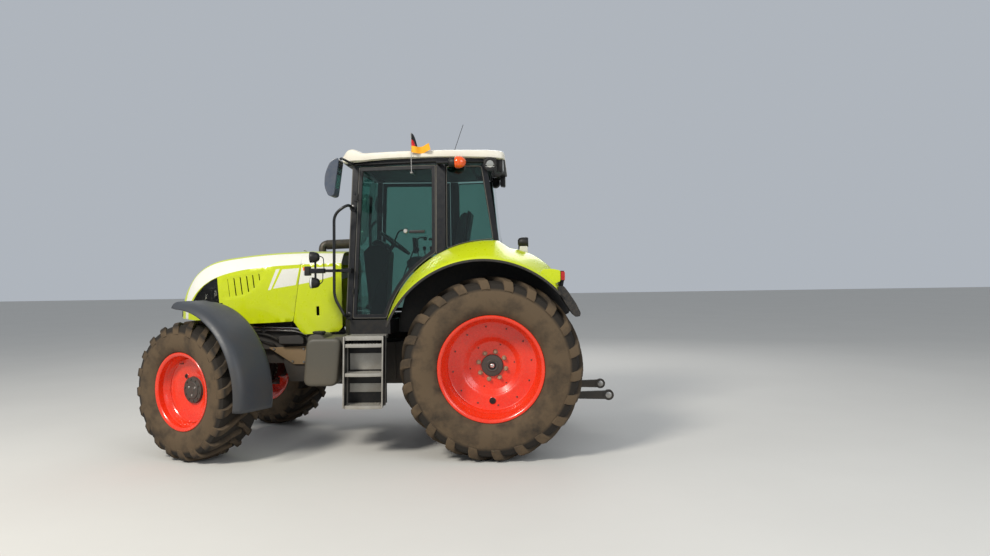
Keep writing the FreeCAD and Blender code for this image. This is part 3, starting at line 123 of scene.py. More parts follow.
# The dust that gathers low down fades out between these heights
DUST_LOW = 0.45
DUST_HIGH = 1.45


def blank_material(name):
    """A new material, its node tree and its shader."""
    made = bpy.data.materials.new(name)
    made.use_nodes = True
    return made, made.node_tree, made.node_tree.nodes["Principled BSDF"]


def material(name, colour, rough=0.45, metal=0.0, other=None, patch=3.0, dust=0.15, dust_colour=DUST,
             low_dust=0.0, grain=None, rough_spread=0.12, coat=0.0, specular=0.5, use_dust_and_shade_attribute=False):
    """A finish: colour that varies in patches, dust in patches and low down, and a fine grain."""
    made, tree, shader = blank_material(name)
    fixed = {"Metallic": metal, "Coat Weight": coat, "Coat Roughness": 0.08, "Specular IOR Level": specular}
    for socket, value in fixed.items():
        shader.inputs[socket].default_value = value
    patches = noise_at(tree, patch)
    other = other or tuple(channel * 0.86 for channel in colour)
    base = mixed(tree, ramp(tree, patches, 0.35, 0.65), colour, other)
    speckle = noise_at(tree, patch * 9, 6)
    cover = combine(tree, ramp(tree, speckle, 0.42, 0.78), dust)
    if low_dust:
        split = tree.nodes.new("ShaderNodeSeparateXYZ")
        tree.links.new(texture_place(tree), split.inputs[0])
        height = ramp(tree, split.outputs["Z"], DUST_HIGH, DUST_LOW)
        low = combine(tree, combine(tree, height, ramp(tree, patches, 0.2, 0.7)), low_dust)
        cover = combine(tree, cover, low, "MAXIMUM")
    # Dust from a per-point value on the mesh; on the tyres it also paints shade between the lugs
    if use_dust_and_shade_attribute:
        painted = node(tree, "Attribute", attribute_name="dust")
        dust_and_shade = combine(tree, painted.outputs["Fac"], ramp(tree, patches, 0.15, 0.55))
        cover = combine(tree, cover, dust_and_shade, "MAXIMUM")
    base = mixed(tree, cover, base, dust_colour)
    tree.links.new(base, shader.inputs["Base Color"])
    spread = node(tree, "MapRange", {"To Min": rough - rough_spread, "To Max": rough + rough_spread})
    tree.links.new(speckle, spread.inputs["Value"])
    tree.links.new(spread.outputs["Result"], shader.inputs["Roughness"])
    if grain:
        scale, strength, distance = grain
        bump(tree, shader, noise_at(tree, scale, 3), strength, distance)
    return made


def glass(name, colour, rough=0.0):
    """Tinted glass with faint dust on it."""
    made, tree, shader = blank_material(name)
    for socket, value in {"Transmission Weight": 1.0, "IOR": 1.45, "Roughness": rough}.items():
        shader.inputs[socket].default_value = value
    film = combine(tree, ramp(tree, noise_at(tree, 2.2, 5, (1, 1, 0.4)), 0.45, 0.8), 0.35)
    base = mixed(tree, film, colour, tuple(channel * 0.8 for channel in colour))
    tree.links.new(base, shader.inputs["Base Color"])
    return made


MATERIALS = {
    "green": material("body_green", (0.54, 0.62, 0.004), 0.30, other=(0.50, 0.585, 0.004), dust=0.06,
                      coat=0.35, patch=2.0),
    "white": material("stripe_white", (0.74, 0.73, 0.66), 0.32, other=(0.70, 0.69, 0.62), dust=0.06,
                      coat=0.35, patch=2.0),
    "red": material("rim_red", (0.80, 0.034, 0.006), 0.27, other=(0.72, 0.026, 0.005), dust=0.08,
                    coat=0.4, patch=4.0),
    "roof": material("roof_white", (0.74, 0.70, 0.60), 0.42, other=(0.69, 0.65, 0.55), dust=0.10,
                     coat=0.2, patch=2.5),
    "tyre": material("tyre_rubber", (0.014, 0.013, 0.012), 0.85, dust=0.20, specular=0.25, patch=6.0,
                     dust_colour=(0.105, 0.072, 0.042), grain=(90, 0.25, 0.004), use_dust_and_shade_attribute=True),
    "rubber": material("rubber_black", (0.012, 0.012, 0.012), 0.66, dust=0.08, specular=0.3,
                       grain=(140, 0.2, 0.002)),
    "black": material("cab_black", (0.0045, 0.005, 0.007), 0.34, dust=0.02, specular=0.35, coat=0.15),
    "casting": material("casting_grey", (0.018, 0.018, 0.019), 0.62, dust=0.20, low_dust=0.35,
                        dust_colour=(0.16, 0.115, 0.065), grain=(60, 0.3, 0.003)),
    "guard": material("guard_grey", (0.034, 0.041, 0.052), 0.45, dust=0.06, low_dust=0.10, specular=0.4,
                      grain=(220, 0.18, 0.001)),
    "trim": material("trim_black", (0.009, 0.009, 0.010), 0.5, dust=0.05, specular=0.35,
                     grain=(180, 0.2, 0.001)),
    "steel": material("bare_steel", (0.42, 0.41, 0.39), 0.38, metal=0.9, dust=0.30, patch=9.0),
    "chrome": material("rod_chrome", (0.75, 0.75, 0.74), 0.12, metal=1.0, dust=0.05, rough_spread=0.05),
    "tread": material("step_alloy", (0.40, 0.39, 0.36), 0.5, metal=0.6, dust=0.35, low_dust=0.3, patch=12.0),
    "tank": material("tank_grey", (0.060, 0.057, 0.045), 0.55, other=(0.052, 0.050, 0.041), dust=0.12,
                     low_dust=0.22, grain=(260, 0.2, 0.001)),
    "core": material("core_alloy", (0.10, 0.10, 0.10), 0.5, metal=0.5, dust=0.3),
    "orange": material("lamp_orange", (0.85, 0.11, 0.006), 0.16, other=(0.74, 0.085, 0.005), dust=0.05,
                       coat=0.6),
    "lamp_red": material("lamp_red", (0.45, 0.010, 0.008), 0.16, dust=0.05, coat=0.6),
    "lens": material("lamp_lens", (0.62, 0.63, 0.60), 0.14, dust=0.08, coat=0.8, patch=14.0),
    "seat": material("seat_cloth", (0.035, 0.038, 0.045), 0.9, dust=0.1, grain=(420, 0.5, 0.002)),
    "hub": material("hub_dark", (0.050, 0.043, 0.036), 0.55, dust=0.25, dust_colour=(0.14, 0.10, 0.06),
                    patch=14.0),
    "nut": material("stud_nut", (0.46, 0.38, 0.27), 0.55, metal=0.3, other=(0.30, 0.19, 0.10), dust=0.3,
                    patch=30.0),
    "plate": material("plate_brown", (0.20, 0.13, 0.065), 0.6, dust=0.4, low_dust=0.4),
    "exhaust": material("exhaust_dark", (0.075, 0.068, 0.058), 0.5, metal=0.5, dust=0.25),
    "glass": glass("cab_glass", (0.27, 0.47, 0.42)),
    "smoked": glass("smoked_glass", (0.30, 0.30, 0.27), 0.03),
    "reflector": material("reflector", (0.62, 0.61, 0.56), 0.16, metal=0.75, dust=0.12, coat=0.5,
            patch=14.0),
    "lamp_base": material("lamp_base", (0.62, 0.60, 0.54), 0.45, dust=0.3, patch=9.0),
    "edge": material("guard_rubber", (0.020, 0.020, 0.020), 0.7, dust=0.45, dust_colour=(0.13, 0.10, 0.07),
                     patch=9.0, specular=0.3, grain=(140, 0.2, 0.002)),
    "seal": material("seal_edge", (0.10, 0.095, 0.085), 0.5, dust=0.3, patch=20.0),
    "mirror_case": material("mirror_case", (0.060, 0.075, 0.105), 0.35, dust=0.08, grain=(220, 0.15, 0.001)),
}
# The flag's bands from the top, with their roughness
FLAG_BANDS = {
    "flag_black": ((0.012, 0.012, 0.013), 0.85),
    "flag_red": ((0.62, 0.012, 0.015), 0.8),
    "flag_gold": ((0.90, 0.40, 0.012), 0.8),
}
for name, (colour, rough) in FLAG_BANDS.items():
    MATERIALS[name] = material(name, colour, rough, dust=0.0, grain=(900, 0.4, 0.001))


# Meshes: every shape below is a list of chunks (points, faces, material), joined into one piece

SHARP_ANGLE = math.radians(30)


def joined(*chunks):
    """Several lists of chunks as one."""
    return [chunk for group in chunks for chunk in group]


def moved(chunks, matrix):
    """The chunks moved by a matrix, their faces turned over where it mirrors them."""
    flip = matrix.determinant() < 0
    return [([matrix @ Vector(point) for point in points], [face[::-1] if flip else face for face in faces],
             finish) for points, faces, finish in chunks]


def mirrored(chunks, side):
    """The chunks as they are on the left, or mirrored to the right."""
    return moved(chunks, Matrix.Diagonal((1, side, 1, 1))) if side < 0 else chunks


def both_sides(chunks):
    """The chunks on the left and their mirror image on the right."""
    return chunks + mirrored(chunks, -1)


def from_bmesh(shape, finish):
    """One chunk from a bmesh, which is freed."""
    shape.verts.index_update()
    points = [v.co.copy() for v in shape.verts]
    faces = [[v.index for v in face.verts] for face in shape.faces]
    shape.free()
    return [(points, faces, finish)]


def softened(shape, width, segments=2):
    """Rounds the sharp edges of a bmesh."""
    if width:
        edges = [e for e in shape.edges if len(e.link_faces) == 2 and e.calc_face_angle(0) > SHARP_ANGLE]
        bmesh.ops.bevel(shape, geom=edges, offset=width, segments=segments, profile=0.7, affect="EDGES",
                        clamp_overlap=True)
    return shape


def block(low, high, finish, soft=0.004):
    """A block with rounded edges between two corners."""
    shape = bmesh.new()
    bmesh.ops.create_cube(shape, size=1)
    middle = (Vector(low) + Vector(high)) / 2
    size = Vector(high) - Vector(low)
    for vert in shape.verts:
        vert.co = Vector([v * s for v, s in zip(vert.co, size)]) + middle
    return from_bmesh(softened(shape, soft), finish)


def across(outline, low, high, finish, soft=0.004, axis="y", segments=2):
    """An outline drawn on a plane and pushed from low to high along the axis across it."""
    def spot(a, b, depth):
        return {"y": (a, depth, b), "x": (depth, a, b), "z": (a, b, depth)}[axis]

    shape = bmesh.new()
    near = [shape.verts.new(spot(a, b, low)) for a, b in outline]
    far = [shape.verts.new(spot(a, b, high)) for a, b in outline]
    count = len(outline)
    shape.faces.new(near)
    shape.faces.new(far[::-1])
    for index in range(count):
        following = (index + 1) % count
        shape.faces.new((near[index], far[index], far[following], near[following]))
    bmesh.ops.recalc_face_normals(shape, faces=shape.faces)
    return from_bmesh(softened(shape, soft, segments), finish)


def grid(rows, finish, ring=False, close=False, flip=False):
    """Rows of points joined into a surface; ring joins each row's ends, close the last row to the first."""
    points = [Vector(point) for row in rows for point in row]
    width = len(rows[0])
    faces = []
    for row in range(len(rows) if close else len(rows) - 1):
        following = (row + 1) % len(rows)
        for column in range(width if ring else width - 1):
            beside = (column + 1) % width
            face = [row * width + column, row * width + beside, following * width + beside,
                    following * width + column]
            faces.append(face[::-1] if flip else face)
    return [(points, faces, finish)]


def circle(count, radius, first=0.0):
    """Points set evenly round a circle in a plane, from an angle in radians."""
    turns = [first + 2 * math.pi * index / count for index in range(count)]
    return [(radius * math.cos(a), radius * math.sin(a)) for a in turns]


def lathe(profile, finish, count=96, flip=False):
    """A closed profile of (radius, y) turned about the Y axis."""
    rows = []
    for index in range(count):
        angle = 2 * math.pi * index / count
        rows.append([(radius * math.cos(angle), y, radius * math.sin(angle)) for radius, y in profile])
    return grid(rows, finish, ring=True, close=True, flip=flip)


def bent(start, corner, end, t):
    """A point on the curve from start to end that its corner pulls on."""
    return start * (1 - t) ** 2 + corner * 2 * t * (1 - t) + end * t ** 2


def rounded_corner(before, corner, after, bend, limit, steps):
    """The points of one rounded corner, whose curve takes up no more than a share of either side."""
    back = before - corner
    ahead = after - corner
    reach = min(bend, back.length * limit, ahead.length * limit)
    start = corner + back.normalized() * reach
    end = corner + ahead.normalized() * reach
    return [bent(start, corner, end, index / steps) for index in range(steps + 1)]


def rounded_path(points, bend, steps=6):
    """Straight runs through points, their corners rounded by about bend."""
    spots = [Vector(point) for point in points]
    path = [spots[0]]
    for before, corner, after in zip(spots, spots[1:], spots[2:]):
        path += rounded_corner(before, corner, after, bend, 0.48, steps)
    path.append(spots[-1])
    return path


def ring_about(spot, up, beside, radius, sides):
    """The points of a circle about a spot."""
    turns = [2 * math.pi * side / sides for side in range(sides)]
    return [spot + (up * math.cos(a) + beside * math.sin(a)) * radius for a in turns]


def capped(rows, finish, sides):
    """Rings joined into a bar with closed ends."""
    points, faces, finish = grid(rows, finish, ring=True)[0]
    last = (len(rows) - 1) * sides
    faces.append(list(range(sides))[::-1])
    faces.append([last + side for side in range(sides)])
    return [(points, faces, finish)]


def tube(points, radius, finish, bend=0.04, sides=12, steps=6):
    """A round bar with closed ends along a path."""
    path = rounded_path(points, bend, steps) if bend else [Vector(point) for point in points]
    rows = []
    up = (path[1] - path[0]).normalized().orthogonal().normalized()
    for index, spot in enumerate(path):
        ahead = path[min(index + 1, len(path) - 1)] - path[max(index - 1, 0)]
        ahead.normalize()
        up = (up - ahead * up.dot(ahead)).normalized()
        rows.append(ring_about(spot, up, ahead.cross(up), radius, sides))
    return capped(rows, finish, sides)


def drum(start, end, profile, finish, sides=32):
    """A round shape turned about the line from start to end: profile is (share of the way, radius)."""
    start = Vector(start)
    line = Vector(end) - start
    heading = line.normalized()
    up = heading.orthogonal().normalized()
    beside = heading.cross(up)
    rows = [ring_about(start + line * share, up, beside, radius, sides) for share, radius in profile]
    return capped(rows, finish, sides)


def chamfered(radius, tip, share=0.8):
    """A drum's profile: straight for a share of its way, then narrowing to its tip."""
    return [(0, radius), (share, radius), (1, tip)]


def piece(name, body, chunks, replaces=(), where=(0, 0, 0), turn=0.0, sharp=32, weld=0.0,
        dust=None):
    """Joins chunks into one object that rides on a body."""
    # Per-point values from the dust function; for the tyres they also paint shade between the lugs
    dust_and_shade_values = [dust(point) for chunk in chunks for point in chunk[0]] if dust else []
    if turn:
        chunks = moved(chunks, Matrix.Rotation(turn, 4, "Z"))
    points = []
    faces = []
    finishes = []
    order = []
    for chunk_points, chunk_faces, finish in chunks:
        start = len(points)
        if finish not in order:
            order.append(finish)
        points.extend(tuple(point) for point in chunk_points)
        faces.extend([start + index for index in face] for face in chunk_faces)
        finishes.extend([order.index(finish)] * len(chunk_faces))
    mesh = bpy.data.meshes.new(name)
    mesh.from_pydata(points, [], faces)
    for finish in order:
        mesh.materials.append(MATERIALS[finish])
    mesh.polygons.foreach_set("material_index", finishes)
    if weld:
        shape = bmesh.new()
        shape.from_mesh(mesh)
        bmesh.ops.remove_doubles(shape, verts=shape.verts, dist=weld)
        bmesh.ops.recalc_face_normals(shape, faces=shape.faces)
        shape.to_mesh(mesh)
        shape.free()
    mesh.validate()
    mesh.shade_smooth()
    mesh.set_sharp_from_angle(angle=math.radians(sharp))
    if dust_and_shade_values:
        mesh.attributes.new("dust", "FLOAT", "POINT").data.foreach_set("value", dust_and_shade_values)
    made = bpy.data.objects.new(name, mesh)
    scene.collection.objects.link(made)
    made.location = ORIGIN + Vector(where)
    bpy.context.view_layer.update()
    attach(made, body)
    if replaces:
        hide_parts(*replaces)
    return made


def modified(made, kind, **settings):
    """Adds a modifier."""
    modifier = made.modifiers.new(kind.lower(), kind)
    for key, value in settings.items():
        setattr(modifier, key, value)


def curve_points(controls, count):
    """A smooth curve through control points of any size, as count points."""
    points = []
    last = len(controls) - 1
    for step in range(count):
        place = last * step / (count - 1)
        index = min(int(place), last - 1)
        t = place - index
        p1 = controls[index]
        p2 = controls[index + 1]
        p0 = controls[index - 1] if index else [2 * a - b for a, b in zip(p1, p2)]
        p3 = controls[index + 2] if index + 2 <= last else [2 * b - a for a, b in zip(p1, p2)]
        points.append([
            0.5 * (2 * b + (c - a) * t + (2 * a - 5 * b + 4 * c - d) * t * t
                   + (3 * b - a - 3 * c + d) * t ** 3)
            for a, b, c, d in zip(p0, p1, p2, p3)
        ])
    return points


def inside(point, loop):
    """Whether a flat point lies inside a loop."""
    x, y = point
    hit = False
    for (x1, y1), (x2, y2) in zip(loop, loop[1:] + loop[:1]):
        if (y1 > y) != (y2 > y) and x < (x2 - x1) * (y - y1) / (y2 - y1) + x1:
            hit = not hit
    return hit


def divided(loop, longest):
    """A loop with its long sides divided."""
    points = []
    for start, end in zip(loop, loop[1:] + loop[:1]):
        parts = max(1, math.ceil(math.dist(start, end) / longest))
        points += [tuple(a + (b - a) * part / parts for a, b in zip(start, end)) for part in range(parts)]
    return points


def rounded_loop(loop, radius, steps=4):
    """A loop with its corners rounded."""
    spots = [Vector(point) for point in loop]
    points = []
    for before, corner, after in zip(spots[-1:] + spots[:-1], spots, spots[1:] + spots[:1]):
        points += [tuple(point) for point in rounded_corner(before, corner, after, radius, 0.45, steps)]
    return points


def slab(loop, radius, steps, low, high, finish, soft=0.004, segments=2):
    """An outline (x, z) with rounded corners, pushed across from low to high."""
    return across(rounded_loop(loop, radius, steps), low, high, finish, soft, segments=segments)


def sheet_with_holes(outline, holes, zones, lift, finish, spacing=0.06):
    """A sheet drawn flat as (x, z), without its holes, and lifted; zones are (loop, finish or None)."""
    loops = [outline] + holes + [loop for loop, chosen in zones]
    spots = []
    edges = []
    for loop in loops:
        start = len(spots)
        spots += [Vector(point) for point in loop]
        edges += [(start + index, start + (index + 1) % len(loop)) for index in range(len(loop))]
    xs = [point[0] for point in outline]
    zs = [point[1] for point in outline]
    column = min(xs) + spacing
    while column < max(xs):
        row = min(zs) + spacing
        while row < max(zs):
            if inside((column, row), outline) and not any(inside((column, row), hole) for hole in holes):
                spots.append(Vector((column, row)))
            row += spacing
        column += spacing
    points, _, faces = delaunay_2d_cdt(spots, edges, [], 0, 1e-5)[:3]
    groups = {}
    for face in faces:
        middle = tuple(sum((points[index] for index in face), Vector((0, 0))) / len(face))
        if not inside(middle, outline) or any(inside(middle, hole) for hole in holes):
            continue
        chosen = finish
        for loop, zone_finish in zones:
            if zone_finish and inside(middle, loop):
                chosen = zone_finish
        groups.setdefault(chosen, []).append(list(face))
    lifted = [Vector(lift(*point)) for point in points]
    return [(lifted, group, chosen) for chosen, group in groups.items()]


# Floor, light and camera

CAMERA = Vector((-0.295, 8.153, 1.757)) + ORIGIN
CAMERA_YAW = math.radians(2.0)
CAMERA_ROLL = math.radians(0.9)
FOCAL_PIXELS = 745
PHOTO_WIDTH = 990
PHOTO_SHIFT = -3
SENSOR_WIDTH = 36
FLOOR_REACH = 60

camera = bpy.data.objects.new("camera", bpy.data.cameras.new("camera"))
camera.data.sensor_width = SENSOR_WIDTH
camera.data.lens = FOCAL_PIXELS / PHOTO_WIDTH * SENSOR_WIDTH
camera.data.clip_end = 200
camera.data.shift_y = PHOTO_SHIFT / PHOTO_WIDTH
look = Vector((math.sin(CAMERA_YAW), -math.cos(CAMERA_YAW), 0))
right = Vector((-math.cos(CAMERA_YAW), -math.sin(CAMERA_YAW), 0))
upright = Matrix((right, (0, 0, 1), -look)).transposed()
camera.matrix_world = Matrix.Translation(CAMERA) @ (upright @ Matrix.Rotation(-CAMERA_ROLL, 3, "Z")).to_4x4()
scene.collection.objects.link(camera)
scene.camera = camera

floor_mesh = bpy.data.meshes.new("floor")
corners = [(x * FLOOR_REACH, y * FLOOR_REACH, 0) for x, y in ((-1, -1), (1, -1), (1, 1), (-1, 1))]
floor_mesh.from_pydata(corners, [], [(0, 1, 2, 3)])
floor = bpy.data.objects.new("floor", floor_mesh)
floor_mesh.materials.append(material("floor_pale", (0.60, 0.585, 0.55), 0.9, other=(0.585, 0.57, 0.536),
                                     dust=0.0, patch=0.6, specular=0.1))
scene.collection.objects.link(floor)

world = bpy.data.worlds.new("studio")
world.use_nodes = True
world.node_tree.nodes["Background"].inputs["Color"].default_value = (0.78, 0.84, 0.92, 1)
world.node_tree.nodes["Background"].inputs["Strength"].default_value = 0.55
scene.world = world

# Lights: name, place, aim, size, watts, colour
LIGHTS = [
    ("key", (5.0, 8.5, 9.0), (0.6, 0, 1.0), 2.5, 1350, (1.0, 0.96, 0.88)),
    ("fill", (-7.0, 7.0, 5.0), (-0.5, 0, 1.2), 5.0, 260, (0.92, 0.96, 1.0)),
    ("back", (-2.0, -8.0, 7.0), (0, 0, 1.5), 5.0, 240, (1.0, 1.0, 1.0)),
]
for name, place, aim, size, watts, colour in LIGHTS:
    lamp = bpy.data.lights.new(name, "AREA")
    lamp.size = size
    lamp.energy = watts
    lamp.color = colour
    lit = bpy.data.objects.new(name, lamp)
    lit.location = place
    lit.rotation_euler = (Vector(aim) - Vector(place)).to_track_quat("-Z", "Y").to_euler()
    scene.collection.objects.link(lit)


# CAD pieces that stay, with their finishes

KEPT = {
    "black": ["cab_posts", "roof_frame", "left_door", "right_door", "rear_panel"],
    "casting": ["gearbox", "engine_block", "front_support", "front_axle", "rear_axle_tubes", "tie_rod",
            "hitch_frame",
                "lower_links", "lift_arms", "lift_rods", "top_link", "steering_cylinder", "side_brackets",
                "left_swivel", "right_swivel"],
    "chrome": ["steering_rod"],
    "trim": ["cab_floor", "steering_wheel", "aerial"],
    "core": ["radiator"],
    "glass": ["cab_windows", "left_door_pane", "right_door_pane"],
    "steel": ["flag_pole"],
    "edge": ["guard_edges"],
}
for finish, names in KEPT.items():
    for name in names:
        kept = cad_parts[name]
        kept.data.materials.clear()
        kept.data.materials.append(MATERIALS[finish])
        if finish != "glass":
            modified(kept, "BEVEL", width=0.004, segments=2, limit_method="ANGLE",
                    angle_limit=math.radians(40))


# Hood: its side lies between the lower edge and the crease, its shoulder between the crease and the top edge

# Lines along the hood from its rear seam to its nose, as (x, y, z)
HOOD_CREASE = [(2.010, 0.430, 1.900), (2.310, 0.422, 1.884), (2.636, 0.413, 1.850), (2.899, 0.399, 1.785),
               (3.070, 0.384, 1.690), (3.180, 0.366, 1.570), (3.232, 0.352, 1.450), (3.246, 0.346, 1.336)]
HOOD_EDGE = [(2.005, 0.300, 2.034), (2.330, 0.296, 2.024), (2.672, 0.290, 1.994), (2.980, 0.276, 1.942),
             (3.178, 0.258, 1.832), (3.300, 0.238, 1.662), (3.360, 0.222, 1.495), (3.374, 0.216, 1.336)]
HOOD_TOP = [(2.003, 0, 2.050), (2.330, 0, 2.040), (2.672, 0, 2.010), (2.975, 0, 1.962), (3.170, 0, 1.852),
            (3.302, 0, 1.678), (3.374, 0, 1.505), (3.390, 0, 1.336)]
# The white band's upper edge along a section, and the points across the band and across the rest
BAND_END = 1.2
BAND_STEPS = 6
TOP_STEPS = 12
HOOD_ROWS = 46


def hood_half_width(x, z):
    """How far the hood's side is from the middle at a place seen from the side."""
    low = 0.415 - 0.046 * max(0, (x - 2.0) / 1.25) ** 2 - 0.016 * max(0, (x - 2.0) / 1.25)
    high = 0.432 - 0.050 * max(0, (x - 2.0) / 1.20) ** 2 - 0.016 * max(0, (x - 2.0) / 1.25)
    t = max(0.0, min(1.0, (z - 1.29) / 0.60))
    return low + (high - low) * t + 0.008 * math.sin(math.pi * t)


def shoulder_point(start, turn, crown, along):
    """A point of the hood's section: up the side for 0 to 1, round its edge to 2, over the top to 3."""
    bulge = Vector((0, 0.006, 0.004))
    up = 0.80 * min(along, 1)
    first = start.lerp(turn, up) + bulge * math.sin(math.pi * up)
    if along <= 1:
        return first
    second = turn.lerp(crown, 0.30)
    return bent(first, turn, second, along - 1) if along <= 2 else second.lerp(crown, along - 2)


def shoulder_row(start, turn, crown, band):
    """One section from side to side. The white band ends at its point number BAND_STEPS."""
    half = [shoulder_point(start, turn, crown, band * index / BAND_STEPS) for index in range(BAND_STEPS)]
    half += [shoulder_point(start, turn, crown,
            band + (3 - band) * index / TOP_STEPS) for index in range(TOP_STEPS + 1)]
    return half + [Vector((p.x, -p.y, p.z)) for p in reversed(half[:-1])]


def shoulder_chunks(rows):
    """The skin over such sections, with a white band along each side."""
    count = len(rows[0])
    chunks = []
    for column in range(count - 1):
        white = min(column, count - 2 - column) < BAND_STEPS
        chunks += grid([row[column:column + 2] for row in rows], "white" if white else "green")
    return chunks


def hood_shoulder():
    """The hood from one crease over the top to the other, and down its nose, where the band narrows."""
    crease = curve_points(HOOD_CREASE, HOOD_ROWS)
    edge = curve_points(HOOD_EDGE, HOOD_ROWS)
    top = curve_points(HOOD_TOP, HOOD_ROWS)
    rows = []
    for index, (low, high, middle) in enumerate(zip(crease, edge, top)):
        down = max(0.0, min(1.0, (index / len(crease) - 0.48) / 0.50))
        band = BAND_END * (1 - 0.62 * down * down * (3 - 2 * down))
        foot = Vector((low[0], hood_half_width(low[0], low[2]), low[2]))
        rows.append(shoulder_row(foot, Vector(high), Vector(middle), band))
    return rows


CREASE_LINE = [(point[0], point[2]) for point in curve_points(HOOD_CREASE, HOOD_ROWS)]
VENT_FIELD = rounded_loop([(2.865, 1.772), (2.400, 1.846), (2.395, 1.790), (2.470, 1.660), (2.620, 1.570),
                           (2.862, 1.528)], 0.07)
VENT_INNER = rounded_loop([(2.853, 1.761), (2.414, 1.832), (2.409, 1.793), (2.479, 1.670), (2.624, 1.583),
                           (2.850, 1.541)], 0.06)
# Slots of the vent: x, top z, bottom z and width
VENT_SLOTS = [(2.800, 1.755, 1.570, 0.006), (2.730, 1.765, 1.580, 0.012), (2.662, 1.774, 1.592, 0.012),
              (2.592, 1.784, 1.618, 0.012), (2.526, 1.795, 1.660, 0.012), (2.458, 1.806, 1.738, 0.010)]
LAMP_WINDOW = [(2.893, 1.506), (2.912, 1.774), (2.975, 1.747), (3.060, 1.690), (3.130, 1.618),
        (3.180, 1.540),
               (3.190, 1.506)]


def hood_side(x, z):
    """The hood's left side with the shallow field that its vents lie in."""
    y = hood_half_width(x, z)
    if inside((x, z), VENT_INNER) or min(math.dist((x, z), spot) for spot in VENT_INNER) < 0.0005:
        y -= 0.004
    return (x, y, z)


def hood_side_chunks():
    """The hood's left side: green with a white stripe and block, vents and the lamp window."""
    low_edge = [(3.246, 1.336), (3.05, 1.308), (2.80, 1.290), (2.55, 1.285), (2.40, 1.290), (2.12, 1.302)]
    seam = [(2.104, 1.310), (2.095, 1.345), (2.030, 1.740)]
    outline = CREASE_LINE + low_edge[1:] + seam
    slots = []
    for x, top, bottom, wide in VENT_SLOTS:
        half = wide / 2
        foot = x - (top - bottom) * 0.12
        slots.append([(x - half, top), (x + half, top + 0.003), (foot + half, bottom),
                (foot - half, bottom + 0.003)])
    stripe = [(2.272, 1.852), (2.232, 1.857), (2.330, 1.640), (2.362, 1.634)]
    block_shape = [(2.206, 1.850), (2.024, 1.862), (2.063, 1.686), (2.305, 1.650)]
    zones = [(VENT_FIELD, None), (VENT_INNER, None), (stripe, "white"), (block_shape, "white")]
    zones = [(divided(loop, 0.05), finish) for loop, finish in zones]
    holes = [divided(loop, 0.04) for loop in slots + [LAMP_WINDOW]]
    return sheet_with_holes(divided(outline, 0.05), holes, zones, hood_side, "green")


def painted_skin(name, body, shoulder, side, replaced):
    """One painted skin of its shoulder and both sides, with its thickness."""
    skin = piece(name, body, joined(shoulder, side, mirrored(side, -1)), [replaced], weld=0.0004, sharp=24)
    modified(skin, "SOLIDIFY", thickness=0.006, offset=-1)
    modified(skin, "WEIGHTED_NORMAL", keep_sharp=True)


painted_skin("hood_skin", "hood", shoulder_chunks(hood_shoulder()), hood_side_chunks(), "hood")


# Cowl

COWL_REAR = 1.57
COWL_FRONT = 2.006
COWL_LENGTH = 0.436


def cowl_half_width(x, z):
    """How far the cowl's side is from the middle."""
    back = (2.04 - x) / 0.475
    t = max(0.0, min(1.0, (z - 1.16) / 0.73))
    return 0.415 + 0.040 * back + 0.017 * t + 0.008 * math.sin(math.pi * t)


def make_cowl():
    """The fixed cowl with its white block and handle slot."""
    crease = [(1.570, 1.905), (1.80, 1.904), (2.006, 1.900)]
    seam = [(2.026, 1.740), (2.090, 1.345), (2.096, 1.300), (2.030, 1.205), (1.985, 1.166)]
    low = [(1.80, 1.178), (1.612, 1.196), (1.570, 1.240)]
    outline = divided(crease + seam + low, 0.05)
    block_shape = [(1.998, 1.864), (1.640, 1.872), (1.640, 1.775), (1.850, 1.722), (2.034, 1.690)]
    handle = rounded_loop([(1.814, 1.362), (1.846, 1.362), (1.846, 1.460), (1.814, 1.460)], 0.012)
    side = sheet_with_holes(outline, [divided(handle, 0.03)], [(divided(block_shape, 0.05), "white")],
                            lambda x, z: (x, cowl_half_width(x, z), z), "green")
    rows = []
    for x in (1.570, 1.60, 1.68, 1.78, 1.90, 2.006):
        back = (COWL_FRONT - x) / COWL_LENGTH
        low_z = 1.905 - 0.005 * (x - COWL_REAR) / COWL_LENGTH
        start = Vector((x, cowl_half_width(x, low_z), low_z))
        edge = Vector((x, 0.30 + 0.028 * back, 2.034 - 0.010 * back))
        rows.append(shoulder_row(start, edge, Vector((x, 0, 2.050 - 0.008 * back)), BAND_END))
    painted_skin("cowl_skin", "chassis", shoulder_chunks(rows), side, "cowl")


make_cowl()


# Wheels

REAR_BEAD = 0.483
REAR_LUG = 0.046
REAR_WHEEL_Y = 0.94
FRONT_BEAD = 0.356
FRONT_LUG = 0.040
FRONT_OFFSET = 0.22
# Up a tyre's side: the share of its height and of its half width
TYRE_SIDE = [(0.13, 0.885), (0.20, 0.940), (0.28, 0.972), (0.36, 0.990), (0.45, 0.996), (0.55, 0.990),
             (0.64, 0.974), (0.72, 0.950)]
# Along one lug: its crest's drop from the tread and share of the half width, its foot's drop from the
# floor and share, how far it trails, and the half widths of its crest and foot
LUG_STATIONS = [
    (0, -0.15, 0.004, -0.15, 0.00, 0.020, 0.034),
    (0, 0.16, 0.004, 0.16, 0.16, 0.024, 0.040),
    (0.002, 0.40, 0.004, 0.40, 0.40, 0.026, 0.042),
    (0.006, 0.62, 0.008, 0.62, 0.62, 0.030, 0.046),
    (0.014, 0.80, 0.016, 0.76, 0.79, 0.036, 0.052),
    (0.034, 0.915, 0.040, 0.84, 0.88, 0.042, 0.058),
    (0.075, 0.965, 0.070, 0.88, 0.93, 0.044, 0.060),
    (0.118, 0.982, 0.090, 0.90, 0.96, 0.042, 0.058),
]


